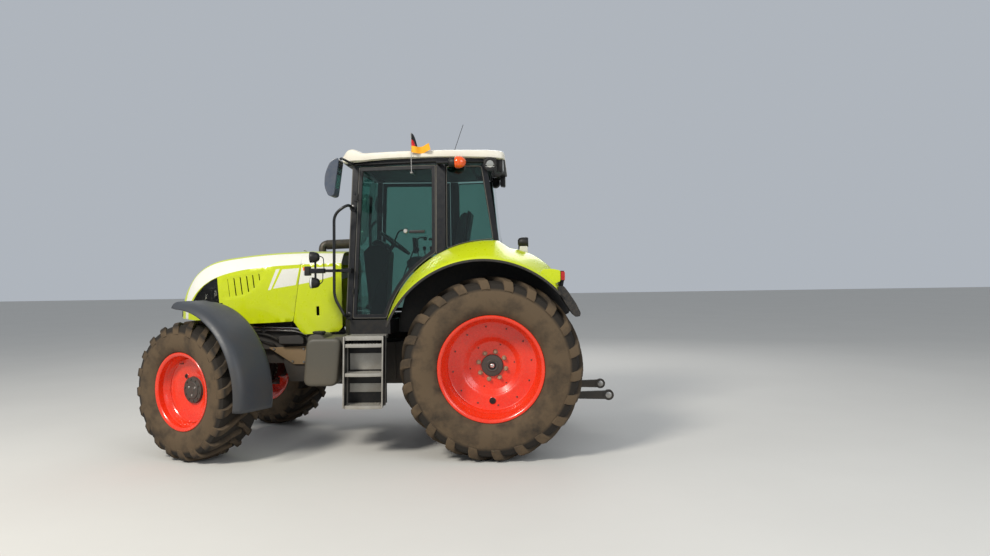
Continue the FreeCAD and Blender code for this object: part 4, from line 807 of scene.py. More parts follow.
def tyre_chunks(radius, bead, half, seat, lug, count, phase):
    """A tyre about the Y axis: carcass, and lugs that point forwards at the top of the wheel."""
    height = radius - bead
    floor_radius = radius - lug
    side = [(bead, seat - 0.020), (bead, seat), (bead + 0.012, seat + 0.004), (bead + 0.026, seat + 0.002),
            (bead + 0.030, seat + 0.008)]
    side += [(bead + height * up, half * out) for up, out in TYRE_SIDE]
    side += [(floor_radius - height * 0.06, half * 0.900), (floor_radius - 0.010, half * 0.830),
             (floor_radius, half * 0.740), (floor_radius + 0.006, half * 0.40), (floor_radius + 0.008, 0)]
    inner = [(radius - 0.075, 0), (radius - 0.080, half * 0.6), (bead + height * 0.5, half - 0.03),
             (bead + 0.03, seat - 0.05)]
    outline = side + [(r, -y) for r, y in reversed(side[:-1])] + [(r, -y) for r,
            y in reversed(inner[1:])] + inner
    chunks = lathe(outline, "tyre", flip=True)
    sweep = half * 0.95
    for side_sign in (1, -1):
        for index in range(count):
            lead = 2 * math.pi * (index + (0.5 if side_sign < 0 else 0)) / count + phase
            rows = []
            for drop, top_share, foot_drop, foot_share, trail, crest, foot in LUG_STATIONS:
                angle = lead - trail * sweep / radius
                top = (radius - drop, top_share * half)
                edge = (top[0] - lug * 0.22, top[1])
                low = (floor_radius - foot_drop, foot_share * half)
                ring = []
                for (r, y), offset in ((low, -foot), (edge, -crest - 0.004), (top, -crest + 0.003),
                                       (top, crest - 0.003), (edge, crest + 0.004), (low, foot)):
                    a = angle + offset / radius
                    ring.append((r * math.sin(a), y * side_sign, r * math.cos(a)))
                rows.append(ring)
            points, faces, finish = grid(rows, "tyre", flip=side_sign < 0)[0]
            last = (len(rows) - 1) * 6
            ends = [[5, 4, 3, 2, 1, 0], [last + corner for corner in range(6)]]
            faces += [end[::-1] if side_sign < 0 else end for end in ends]
            chunks.append((points, faces, finish))
    return chunks


def rim_chunks(bead, half, depth, hub_radius):
    """A rim about the Y axis, its outside towards +Y."""
    wall = 0.012
    face = half - depth
    step = face + depth * 0.14
    well = bead - 0.034
    ridges = []
    for share in (0.30, 0.62):
        middle = (half - 0.124) * (1 - share) + (step + 0.024) * share
        ridges += [(well - 0.012, middle + 0.005), (well - 0.017, middle), (well - 0.012, middle - 0.005)]
    outside = [
        (bead + 0.012, half - wall), (bead + 0.022, half - wall + 0.003), (bead + 0.025, half - 0.004),
        (bead + 0.020, half + 0.001), (bead + 0.010, half), (bead - 0.004, half - 0.006),
        (bead - 0.011, half - 0.014), (bead - 0.013, half - 0.030), (bead - 0.013, half - 0.066),
        (bead - 0.020, half - 0.076), (bead - 0.026, half - 0.092), (bead - 0.034, half - 0.104),
        (well - 0.012, half - 0.124), *ridges, (well - 0.012, step + 0.024), (well - 0.018, step + 0.008),
        (well - 0.034, step), (bead * 0.66, step), (bead * 0.615, step - 0.004),
        (bead * 0.56, (face + step) / 2),
        (bead * 0.50, face + 0.005), (bead * 0.46, face), (hub_radius * 0.9, face),
    ]
    back = [
        (hub_radius * 0.9, face - wall), (bead * 0.44, face - wall), (bead * 0.58, step - wall),
        (well - 0.030, step - wall), (well - 0.018, -half + 0.10), (bead - wall, -half + 0.07),
        (bead - wall, -half + wall), (bead + 0.010, -half + 0.001), (bead + 0.024, -half + 0.003),
        (bead + 0.024, -half + wall), (bead, -half + wall), (bead, -half + 0.066), (well, -half + 0.100),
        (well, half - 0.115), (bead, half - 0.075), (bead, half - wall),
    ]
    return lathe(outside + back, "red")


def outwards(x, z, low, high, profile, finish, sides=32):
    """A round part along the Y axis."""
    return drum((x, low, z), (x, high, z), profile, finish, sides)


def ring_of(count, radius, first, y, height, profile, finish, sides):
    """Small round parts set in a circle about the wheel's axis, the first at an angle in degrees."""
    return joined(*(outwards(x, z, y, y + height, profile, finish, sides)
                    for x, z in circle(count, radius, math.radians(first))))


def hub_chunks(face, radius, tip):
    """The hub cap in the middle of a rim."""
    return outwards(0, 0, face - 0.02, face + tip, [
        (0, radius * 1.02), (0.45, radius * 1.02), (0.50, radius), (0.92, radius * 0.97),
        (1.0, radius * 0.90), (0.97, radius * 0.55), (1.0, radius * 0.50), (1.0, radius * 0.22),
        (1.04, radius * 0.18),
    ], "hub", 48)


def rear_rim_fittings(face, step):
    """Studs, bolts, holes and the valve hole of a rear rim, and the socket in its hub. The holes are flat
    black discs, painted shade in place of openings.
    """
    chunks = []
    for x, z in circle(8, 0.1375, math.radians(14)):
        chunks += outwards(x, z, face - 0.004, face + 0.007, chamfered(0.024, 0.020, 0.6), "nut", 20)
        chunks += outwards(x, z, face, face + 0.030, chamfered(0.0175, 0.015, 0.9), "nut", 6)
        chunks += outwards(x, z, face, face + 0.042, chamfered(0.010, 0.008, 0.93), "nut", 12)
    chunks += ring_of(12, 0.386, 22, step - 0.002, 0.007, chamfered(0.0085, 0.006), "hub", 6)
    # Six holes in the disc, each a red rim round a flat black disc: painted shade in place of an opening
    chunks += ring_of(6, 0.218, 52, face - 0.002, 0.004, chamfered(0.010, 0.0075, 0.7), "red", 16)
    chunks += ring_of(6, 0.218, 52, face, 0.0026, [(0, 0.0065), (1, 0.0065)], "rubber", 16)
    # The valve hole, a red rim round a flat black disc: painted shade in place of an opening
    chunks += ring_of(1, 0.340, -90, step - 0.003, 0.006, chamfered(0.038, 0.034, 0.6), "red", 32)
    chunks += ring_of(1, 0.340, -90, step, 0.0036, [(0, 0.0325), (1, 0.0325)], "rubber", 32)
    socket = chamfered(0.060, 0.054, 0.85) + [(0.92, 0.046)]
    chunks += outwards(0, 0, face + 0.010, face + 0.036, socket, "hub", 32)
    chunks += outwards(0, 0, face + 0.012, face + 0.034, chamfered(0.045, 0.040, 0.90), "rubber", 32)
    cap = [(0, 0.022), (0.6, 0.022), (0.85, 0.016), (1, 0.006)]
    return chunks + outwards(0, 0, face + 0.020, face + 0.044, cap, "reflector", 24)


def front_rim_fittings(face, tip):
    """The hub's cover plate with its bolts, and the valve hole and valve of a front rim. The valve hole is a
    flat black disc, painted shade in place of an opening.
    """
    top = face + tip
    cover = chamfered(0.086, 0.080, 0.7) + [(0.8, 0.066), (0.8, 0.030), (1, 0.026)]
    valve = [(0, 0.012), (0.3, 0.007), (0.9, 0.006), (1, 0.004)]
    chunks = ring_of(10, 0.106, 10, top - 0.004, 0.012, chamfered(0.0095, 0.0075), "hub", 6)
    chunks += outwards(0, 0, top - 0.006, top + 0.007, cover, "hub", 40)
    chunks += ring_of(3, 0.050, 30, top, 0.008, chamfered(0.010, 0.008), "steel", 16)
    # The valve hole, a red rim round a flat black disc: painted shade in place of an opening
    chunks += ring_of(1, 0.168, 51, face - 0.002, 0.009, chamfered(0.030, 0.026, 0.6), "red", 28)
    chunks += ring_of(1, 0.168, 51, face, 0.0076, [(0, 0.024), (1, 0.024)], "rubber", 28)
    return chunks + ring_of(1, 0.285, 63, face + 0.022, 0.045, valve, "steel", 12)


def tyre_dust_and_shade(radius, bead, lug):
    """How dusty a tyre is at a point, with painted shade between the lugs: thick dust on its side and the
    ends of its lugs, and little dust between the lugs, so that the gaps stay dark as if shaded.
    """
    low = radius - lug
    # Rings of points between the lugs, given little dust so they stay dark: painted shade in the gaps
    between = [bead + (radius - bead) * 0.72, low - (radius - bead) * 0.06]
    between += [low + step for step in (-0.070, -0.040, -0.016, -0.010, -0.008, -0.004, 0, 0.006, 0.008)]

    def at(point):
        out = math.hypot(point[0], point[2])
        if min(abs(out - ring) for ring in between) < 0.0005:
            return 0.10
        return 0.62 if out > radius - lug * 0.6 else 0.95
    return at


def make_wheels():
    """Tyres and rims of all four wheels."""
    rear_tyre = tyre_chunks(REAR_RADIUS, REAR_BEAD, 0.300, 0.2327, REAR_LUG, 22, math.radians(4))
    rear_rim = rim_chunks(REAR_BEAD, 0.245, 0.330, 0.106) + hub_chunks(-0.085, 0.106, 0.030)
    rear_rim += rear_rim_fittings(-0.085, -0.0388)
    front_tyre = tyre_chunks(FRONT_RADIUS, FRONT_BEAD, 0.240, 0.1947, FRONT_LUG, 20, math.radians(2))
    front_rim = rim_chunks(FRONT_BEAD, 0.207, 0.162, 0.130) + hub_chunks(0.045, 0.130, 0.026)
    front_rim += front_rim_fittings(0.045, 0.026)
    shift = Matrix.Translation((0, FRONT_OFFSET, 0))
    # Each axle's name, place, turn, tyre, rim and dust, whose values also paint shade between the lugs
    axles = [
        ("rear", (0, REAR_WHEEL_Y, REAR_RADIUS), 0.0, rear_tyre, rear_rim,
         tyre_dust_and_shade(REAR_RADIUS, REAR_BEAD, REAR_LUG)),
        ("front", (WHEELBASE, KINGPIN_Y, FRONT_RADIUS), -STEER, moved(front_tyre, shift), moved(front_rim,
                shift),
         tyre_dust_and_shade(FRONT_RADIUS, FRONT_BEAD, FRONT_LUG)),
    ]
    for side_name, side in SIDES:
        for axle, (x, y, z), turn, tyre, rim, dust in axles:
            name = f"{side_name}_{axle}"
            where = (x, y * side, z)
            piece(f"{name}_tyre_skin", f"{name}_wheel", mirrored(tyre, side), [f"{name}_tyre"], where, turn,
                  dust=dust)
            piece(f"{name}_rim_skin", f"{name}_wheel", mirrored(rim, side), [f"{name}_rim"], where, turn)


make_wheels()


# Mudguards

def arc(centre_x, centre_z, radius, start, end, count):
    """Points (x, z) along an arc, in degrees."""
    turns = [math.radians(start + (end - start) * index / (count - 1)) for index in range(count)]
    return [(centre_x + radius * math.cos(a), centre_z + radius * math.sin(a)) for a in turns]


# Centres (x, z) of the rear guards' arcs: their front part along the cab, their rear part, and their edge
GUARD_CENTRE = (0.021, 1.059)
GUARD_BACK_CENTRE = (-0.110, 1.360)
GUARD_EDGE_CENTRE = (0.069, 0.932)


def rear_guard_rows():
    """Sections of the left rear guard's crowned sheet, from its front to its back."""
    inner = arc(*GUARD_CENTRE, 1.041, 15.4, 95.3, 34) + arc(*GUARD_BACK_CENTRE, 0.662, 97, 142, 14)
    outer = arc(*GUARD_EDGE_CENTRE, 0.979, 24.2, 98, 34) + arc(*GUARD_EDGE_CENTRE, 0.979, 101, 137, 14)
    rows = []
    for (ix, iz), (ox, oz) in zip(inner, outer):
        row = [(ix, y, iz) for y in (0.602, 0.70, 0.80, 0.835)]
        for share in (0.03, 0.12, 0.3, 0.5, 0.7, 0.86, 0.94):
            crown = 0.012 * math.sin(math.pi * share)
            row.append((ix + (ox - ix) * share, 0.86 + 0.39 * share, iz + (oz - iz) * share + crown))
        down = Vector((GUARD_EDGE_CENTRE[0] - ox, 0, GUARD_EDGE_CENTRE[1] - oz)).normalized()
        row += [(ox + down.x * lip, y, oz + down.z * lip) for y, lip in ((1.243, 0.004), (1.249, 0.014))]
        rows.append(row)
    return rows


def rear_guard_fittings():
    """The lamp on the left rear guard and the rubber flap behind it."""
    foot = [(-0.368, 1.973), (-0.282, 2.001), (-0.288, 2.038), (-0.362, 2.038)]
    bowl = [(0, 0.024), (0.12, 0.040), (0.4, 0.050), (0.85, 0.051), (1, 0.046), (0.96, 0.040)]
    flap = [(-0.632, 1.640), (-0.690, 1.645), (-0.726, 1.598), (-0.802, 1.481), (-0.842, 1.395),
            (-0.836, 1.362),
            (-0.790, 1.358), (-0.745, 1.420), (-0.700, 1.490), (-0.655, 1.570)]
    chunks = across(foot, 0.715, 0.785, "lamp_base")
    chunks += drum((-0.268, 0.750, 2.078), (-0.372, 0.750, 2.078), bowl, "trim", 28)
    chunks += drum((-0.350, 0.750, 2.078), (-0.366, 0.750, 2.078), chamfered(0.040, 0.024, 0.5),
            "reflector", 24)
    return chunks + slab(flap, 0.012, 3, 0.872, 1.242, "edge", 0.010, 3)


def make_rear_guards():
    """Rear mudguards: a crowned sheet, black underneath, with a wall, a lamp and a flap."""
    sheet = grid(rear_guard_rows(), "green")
    wall = [(0.900, 1.19), (0.955, 1.30)]
    wall += arc(*GUARD_CENTRE, 1.037, 36, 94, 16) + arc(*GUARD_BACK_CENTRE, 0.657, 97, 141, 10)
    wall += [(-0.690, 1.66), (-0.755, 1.53), (-0.795, 1.41), (-0.770, 1.36), (-0.42, 1.19)]
    for name, side in SIDES:
        made = piece(f"{name}_rear_guard_skin", "chassis", mirrored(sheet, side), [f"{name}_rear_guard"],
                     sharp=28)
        made.data.materials.append(MATERIALS["trim"])
        modified(made, "SOLIDIFY", thickness=0.009, offset=-1, material_offset=1, material_offset_rim=0)
        piece(f"{name}_rear_guard_wall", "chassis", mirrored(across(wall, 0.590, 0.600, "trim"), side))
        piece(f"{name}_guard_lamp", "chassis", mirrored(rear_guard_fittings(), side), sharp=35)


make_rear_guards()


def make_front_guards():
    """Front mudguards, which turn with the wheels."""
    section = [(0.848, 0.052), (0.857, 0.075), (0.860, 0.115), (0.861, 0.20), (0.861, 0.30), (0.860, 0.385),
               (0.855, 0.425), (0.842, 0.452), (0.826, 0.468), (0.808, 0.480), (0.800, 0.484)]
    rows = []
    steps = 48
    for index in range(steps + 1):
        share = index / steps
        angle = math.radians(-9.5 + 102 * share)
        flare = 0.012 * max(0.0, share - 0.96) / 0.04
        rows.append([(-(r + flare) * math.cos(angle), y, (r + flare) * math.sin(angle)) for r, y in section])
    sheet = grid(rows, "guard", flip=True)
    for name, side in SIDES:
        where = (WHEELBASE, KINGPIN_Y * side, FRONT_RADIUS)
        made = piece(f"{name}_front_guard_skin", f"{name}_swivel", mirrored(sheet, side),
                     [f"{name}_front_guard"], where, -STEER)
        modified(made, "SOLIDIFY", thickness=0.008, offset=-1)


make_front_guards()


# Roof

# Along the roof: x, half width, lower edge z, top z at the side, top z in the middle
ROOF_STATIONS = [
    (-0.150, 0.640, 2.915, 2.955, 2.960), (-0.146, 0.690, 2.905, 2.985, 2.992),
    (-0.120, 0.722, 2.900, 3.008, 3.020), (-0.050, 0.748, 2.902, 3.018, 3.032),
    (0.100, 0.770, 2.910, 3.022, 3.038), (0.500, 0.795, 2.918, 3.024, 3.042),
    (0.900, 0.790, 2.918, 3.020, 3.040), (1.150, 0.780, 2.908, 3.014, 3.036),
    (1.270, 0.776, 2.896, 3.014, 3.034), (1.320, 0.772, 2.889, 3.042, 3.046),
    (1.370, 0.766, 2.882, 3.066, 3.056), (1.420, 0.756, 2.880, 3.058, 3.048),
    (1.455, 0.730, 2.888, 3.020, 3.022), (1.485, 0.700, 2.905, 2.975, 2.990),
    (1.500, 0.640, 2.930, 2.955, 2.965),
]
ROOF_STEPS = 27
# The columns of the roof's underside that its black lining takes up
ROOF_LINING = range(31, 51)


def make_roof():
    """The roof: a thin moulded shell with a raised front edge and a black lining."""
    rows = []
    for x, half, low, side_top, top in curve_points(ROOF_STATIONS, 60):
        middle = (low + side_top) / 2
        ring = [(x, half, middle)]
        under = []
        for index in range(1, ROOF_STEPS):
            turn = math.pi * index / ROOF_STEPS
            y = half * math.cos(turn)
            bulge = abs(math.sin(turn)) ** 0.28
            crown = side_top + (top - side_top) * (1 - (y / half) ** 2)
            ring.append((x, y, middle + (crown - middle) * bulge))
            under.append((x, -y, middle - (side_top - low) / 2 * bulge))
        rows.append(ring + [(x, -half, middle)] + under)
    points, faces, finish = grid(rows, "roof", ring=True)[0]
    width = len(rows[0])
    lining = [face for index, face in enumerate(faces) if index % width in ROOF_LINING]
    faces = [face for index, face in enumerate(faces) if index % width not in ROOF_LINING]
    faces.append(list(range(width))[::-1])
    faces.append([(len(rows) - 1) * width + index for index in range(width)])
    piece("roof_shell", "chassis", [(points, faces, finish), (points, lining, "trim")], ["roof"], sharp=40,
          weld=0.00005)


make_roof()


# Flag

def smooth(t):
    """Eases a value from 0 to 1 in and out."""
    return t * t * (3 - 2 * t)


def make_flag():
    """The small flag: three plain bands; the upper two fold behind the lowest as the wind lifts it."""
    rows = []
    count = 29
    for index in range(count):
        share = index / (count - 1)
        turned = smooth(min(1.0, share / 0.42))
        wave = 0.016 * math.sin(share * 8.5)
        height = 2.984 - 0.022 * math.sin(math.pi * share) + 0.020 * share
        low = Vector((0.7687 - 0.190 * share, 0.814 + wave, height))
        row = [low + Vector((0.004 * share * step, 0.003 * math.sin(share * 9 + step), 0.0165 * step))
               for step in range(5)]
        for fold, sway in ((155, 0.003), (62, -0.002)):
            turn = math.radians(fold) * turned
            rise = Vector((sway * share, -0.0155 * math.sin(turn), 0.0155 * math.cos(turn)))
            for part in range(4):
                row.append(row[-1] + rise)
        rows.append(row[::-1])
    chunks = []
    for band, finish in enumerate(FLAG_BANDS):
        chunks += grid([row[band * 4:band * 4 + 5] for row in rows], finish)
    made = piece("flag_sheet", "left_door", chunks, ["flag_cloth"], weld=0.0001)


make_flag()


# Hood fittings

def nose_grille():
    """The dark grille in the front of the nose, with slats across it and a rim round it."""
    rows = hood_shoulder()
    chosen = [row for row in rows if 1.355 < row[len(row) // 2].z < 1.50]
    reach = [index for index, point in enumerate(chosen[0]) if abs(point.y) < 0.185]
    first, last = reach[0], reach[-1]
    panel, back = ([[p + Vector((out, 0, 0)) for p in row[first:last + 1]] for row in chosen]
                   for out in (0.0045, -0.004))
    chunks = grid(panel, "trim", flip=True) + grid(back, "trim")
    for low, high in zip(panel, panel[1:]):
        for share in (0.25, 0.75):
            path = [a.lerp(b, share) + Vector((0.006, 0, 0)) for a, b in zip(low, high)]
            chunks += tube(path, 0.0035, "rubber", bend=0, sides=6)
    rim = panel[0] + [row[-1] for row in panel[1:]]
    rim += panel[-1][-2::-1] + [row[0] for row in reversed(panel[:-1])]
    return chunks + tube([p + Vector((0.003, 0, 0)) for p in rim], 0.007, "black", bend=0, sides=8)


def lamp_pod(x, z, y, radius):
    """A round headlamp that looks outwards, with its bowl and lens."""
    bowl = [(share, radius * wide) for share,
            wide in ((0, 0.6), (0.5, 0.96), (0.95, 1), (1.0, 0.97), (0.97, 0.90))]
    lens = [(share, radius * wide) for share, wide in ((0, 0.85), (0.6, 0.86), (1, 0.6))]
    chunks = drum((x - 0.012, y - 0.075, z), (x + 0.010, y, z - 0.002), bowl, "trim", 32)
    return chunks + drum((x - 0.004, y - 0.03, z), (x + 0.008, y - 0.004, z), lens, "reflector", 32)


def hood_sheet(loop, longest, depth, finish):
    """A sheet behind the hood's left side, at a depth."""
    return sheet_with_holes(divided(loop, longest), [], [], lambda x,
            z: (x, hood_half_width(x, z) - depth, z), finish)


def make_hood_fittings():
    """What shows through the hood's openings, and the parts on its skin."""
    liner = [(2.38, 1.86), (2.60, 1.82), (2.90, 1.79), (3.05, 1.71), (3.17, 1.58), (3.205, 1.47),
            (2.60, 1.53),
             (2.38, 1.68)]
    window = [(2.897, 1.508), (2.915, 1.768), (2.975, 1.742), (3.058, 1.686), (3.127, 1.615), (3.176, 1.539),
              (3.186, 1.508)]
    chunks = hood_sheet(liner, 0.08, 0.034, "trim")
    chunks += lamp_pod(3.075, 1.575, 0.350, 0.058) + lamp_pod(2.965, 1.615, 0.366, 0.066)
    chunks += tube([(2.935, 0.358, 1.52), (2.940, 0.360, 1.66), (2.965, 0.356, 1.735)], 0.006, "rubber",
            0.02)
    chunks += hood_sheet(window, 0.05, 0.004, "smoked")
    rim = [(x, hood_half_width(x, z) - 0.003, z) for x, z in divided(window, 0.05)]
    chunks += tube(rim + rim[:1], 0.0035, "rubber", bend=0, sides=6)
    piece("hood_liner", "hood", both_sides(chunks) + nose_grille(), ["hood_grille"], sharp=40)
    strip = []
    for side in (1, -1):
        path = [(x - 0.006, (hood_half_width(x, z) - 0.010) * side, z)
                for x, z in ((2.101, 1.310), (2.092, 1.345), (2.0275, 1.742), (2.008, 1.900))]
        strip += tube(path + [(2.001, 0.300 * side, 2.018)], 0.007, "rubber", 0.02, 8)
    strip += tube([(2.001, 0.300, 2.018), (2.001, 0, 2.035), (2.001, -0.300, 2.018)], 0.007, "rubber", 0.02,
            8)
    piece("seam_seal", "chassis", strip)
    hinge = tube([(2.037, 0.118, 2.052), (2.037, 0.202, 2.052)], 0.006, "steel", bend=0)
    piece("hood_hinge_pins", "chassis", both_sides(hinge))


make_hood_fittings()


# Cab

def side_place(side, toe):
    """The matrix that stands a cab side's own flat frame in the tractor's frame."""
    place = Matrix.Translation((0.504, 0.850 * side, 1.340))
    return place @ Matrix.Rotation(math.radians(-toe * side), 4,
            "Z") @ Matrix.Rotation(math.radians(3.4 * side), 4, "X")


def door_loop(margin):
    """The door's outline on the cab side, shrunk by margin."""
    loop = [(0.832 - margin, 1.528 - margin), (0.894 - margin, 0.004 + margin)]
    radius = 1.067 + margin
    loop.append((0.021 + radius * math.cos(math.radians(16)) - 0.504, 0.004 + margin))
    for angle in (20, 24, 28, 32, 36, 40, 44, 48, 52, 55):
        turn = math.radians(angle)
        loop.append((0.021 + radius * math.cos(turn) - 0.504, 1.059 + radius * math.sin(turn) - 1.340))
    loop.append((0.044 + margin, 1.059 + radius * math.sin(math.radians(60.5)) - 1.340))
    loop.append((0.044 + margin, 1.528 - margin))
    return loop


def closed_tube(loop, depth, radius, finish, sides=8):
    """A round strip that follows a closed loop (x, z) at a depth."""
    points = [Vector((x, depth, z)) for x, z in loop]
    return tube(points + points[:1], radius, finish, bend=0, sides=sides)


def make_doors():
    """Seals, inner bar, latch, handle and hinges of the doors."""
    for name, side in SIDES:
        place = side_place(side, 5.5)
        seal = rounded_loop(door_loop(0.036), 0.03)
        outer = rounded_loop(door_loop(0.004), 0.02)
        chunks = closed_tube(seal, -0.0115 * side, 0.0055, "rubber")
        chunks += closed_tube(outer, -0.001 * side, 0.0032, "seal")
        inner = -0.045 * side
        bar = [(0.345, inner, 0.885), (0.430, inner, 0.885), (0.585, inner, 0.500), (0.700, inner, 0.180),
               (0.735, inner, 0.130)]
        chunks += tube(bar, 0.008, "trim", 0.05)
        chunks += outwards(0.742, 0.118, inner - 0.014 * side, inner + 0.014 * side,
                [(0, 0.016), (0.2, 0.026), (0.8, 0.026), (1, 0.016)], "trim", 20)
        for x, z in ((0.345, 0.885), (0.735, 0.130)):
            chunks += outwards(x, z, inner, -0.018 * side, [(0, 0.010), (1, 0.014)], "trim", 12)
        chunks += outwards(0.350, 0.870, -0.012 * side, 0.012 * side, chamfered(0.024, 0.018, 0.7), "steel",
                24)
        low, high = sorted((0.002 * side, 0.024 * side))
        chunks += block((0.150, low, 0.845), (0.310, high, 0.875), "trim", 0.008)
        for share in (0.18, 0.80):
            x = 0.897 - 0.062 * share
            z = 1.528 * share
            chunks += drum((x + 0.001, 0.010 * side, z - 0.0245), (x - 0.001, 0.010 * side, z + 0.0245),
                    [(0, 0.0098), (0.1, 0.0106), (0.9, 0.0106), (1, 0.0098)], "trim", 20)
        piece(f"{name}_door_fittings", f"{name}_door", moved(chunks, place))


def make_cab_trim():
    """Window seals, gutters, wiper and the frame between the windows."""
    chunks = []
    for side in (1, -1):
        place = side_place(side, -6)
        window = [(-0.536, 0.780), (-0.477, 0.777), (-0.356, 0.766), (-0.205, 0.736), (-0.075, 0.688),
                (-0.083, 1.512), (-0.432, 1.512)]
        loop = rounded_loop(window, 0.03)
        chunks += moved(closed_tube(loop, -0.024 * side, 0.006, "rubber"), place)
        chunks += moved(closed_tube(loop, 0.001 * side, 0.003, "seal"), place)
        front = side_place(side, 5.5)
        post = [(0.957, -0.004 * side, 0.01), (0.895, -0.004 * side, 1.520)]
        chunks += moved(tube(post, 0.006, "seal", bend=0, sides=8), front)
        rear_post = [(0.036, 0.002 * side, 0.640), (0.036, 0.002 * side, 1.520)]
        chunks += moved(tube(rear_post, 0.004, "seal", bend=0, sides=8), front)
        gutter = [(1.440, 0.660 * side, 2.886), (1.36, 0.708 * side, 2.888), (0.505, 0.776 * side, 2.898),
                (0.05, 0.722 * side, 2.890)]
        chunks += tube(gutter, 0.009, "black", 0.05, sides=10)
    piece("cab_trim", "chassis", chunks)
    screen = tube([(1.462, 0.05, 1.372), (1.446, 0.18, 1.80), (1.429, 0.30, 2.180)], 0.006, "trim", 0.03)
    screen += tube([(1.464, 0.05, 1.350), (1.480, 0.05, 1.360)], 0.022, "trim", bend=0)
    screen += tube([(1.448, 0.165, 1.760), (1.424, 0.352, 2.380)], 0.005, "rubber", bend=0)
    piece("wiper", "chassis", screen)


def make_rails_and_mirrors():
    """Grab rails and mirrors on both sides."""
    path = [(1.385, 0.700, 2.455), (1.402, 0.880, 2.475), (1.535, 0.880, 2.380), (1.545, 0.880, 1.560),
            (1.440, 0.880, 1.372), (1.428, 0.760, 1.372)]
    rail = tube(path, 0.0145, "black", 0.075, sides=16, steps=8)
    for end, ahead in ((path[0], path[1]), (path[-1], path[-2])):
        heading = (Vector(ahead) - Vector(end)).normalized()
        rail += drum(Vector(end) - heading * 0.002, Vector(end) + heading * 0.010,
                chamfered(0.034, 0.026, 0.7), "black", 24)
    arm = tube([(1.378, 0.684, 2.895), (1.400, 1.120, 2.895), (1.436, 1.190, 2.790)], 0.0125, "black", 0.05,
            sides=14)
    case = rounded_loop([(1.430, 2.520), (1.482, 2.513), (1.520, 2.600), (1.514, 2.720), (1.462, 2.842),
            (1.376, 2.880)], 0.050, 6)
    shell = across(case, 1.100, 1.290, "mirror_case", 0.020, segments=4)
    low, high = (1.430, 2.545), (1.376, 2.845)
    face = [(low[0] - 0.0035, 1.118, low[1]), (low[0] - 0.0035, 1.272, low[1]),
            (high[0] + 0.004, 1.272, high[1]), (high[0] + 0.004, 1.118, high[1])]
    plate = [([Vector(p) for p in face], [[0, 1, 2, 3]], "chrome")]
    piece("rails_skin", "chassis", both_sides(rail), ["handrails"])
    piece("mirrors_skin", "chassis", both_sides(joined(arm, shell, plate)), ["mirrors"], sharp=40)


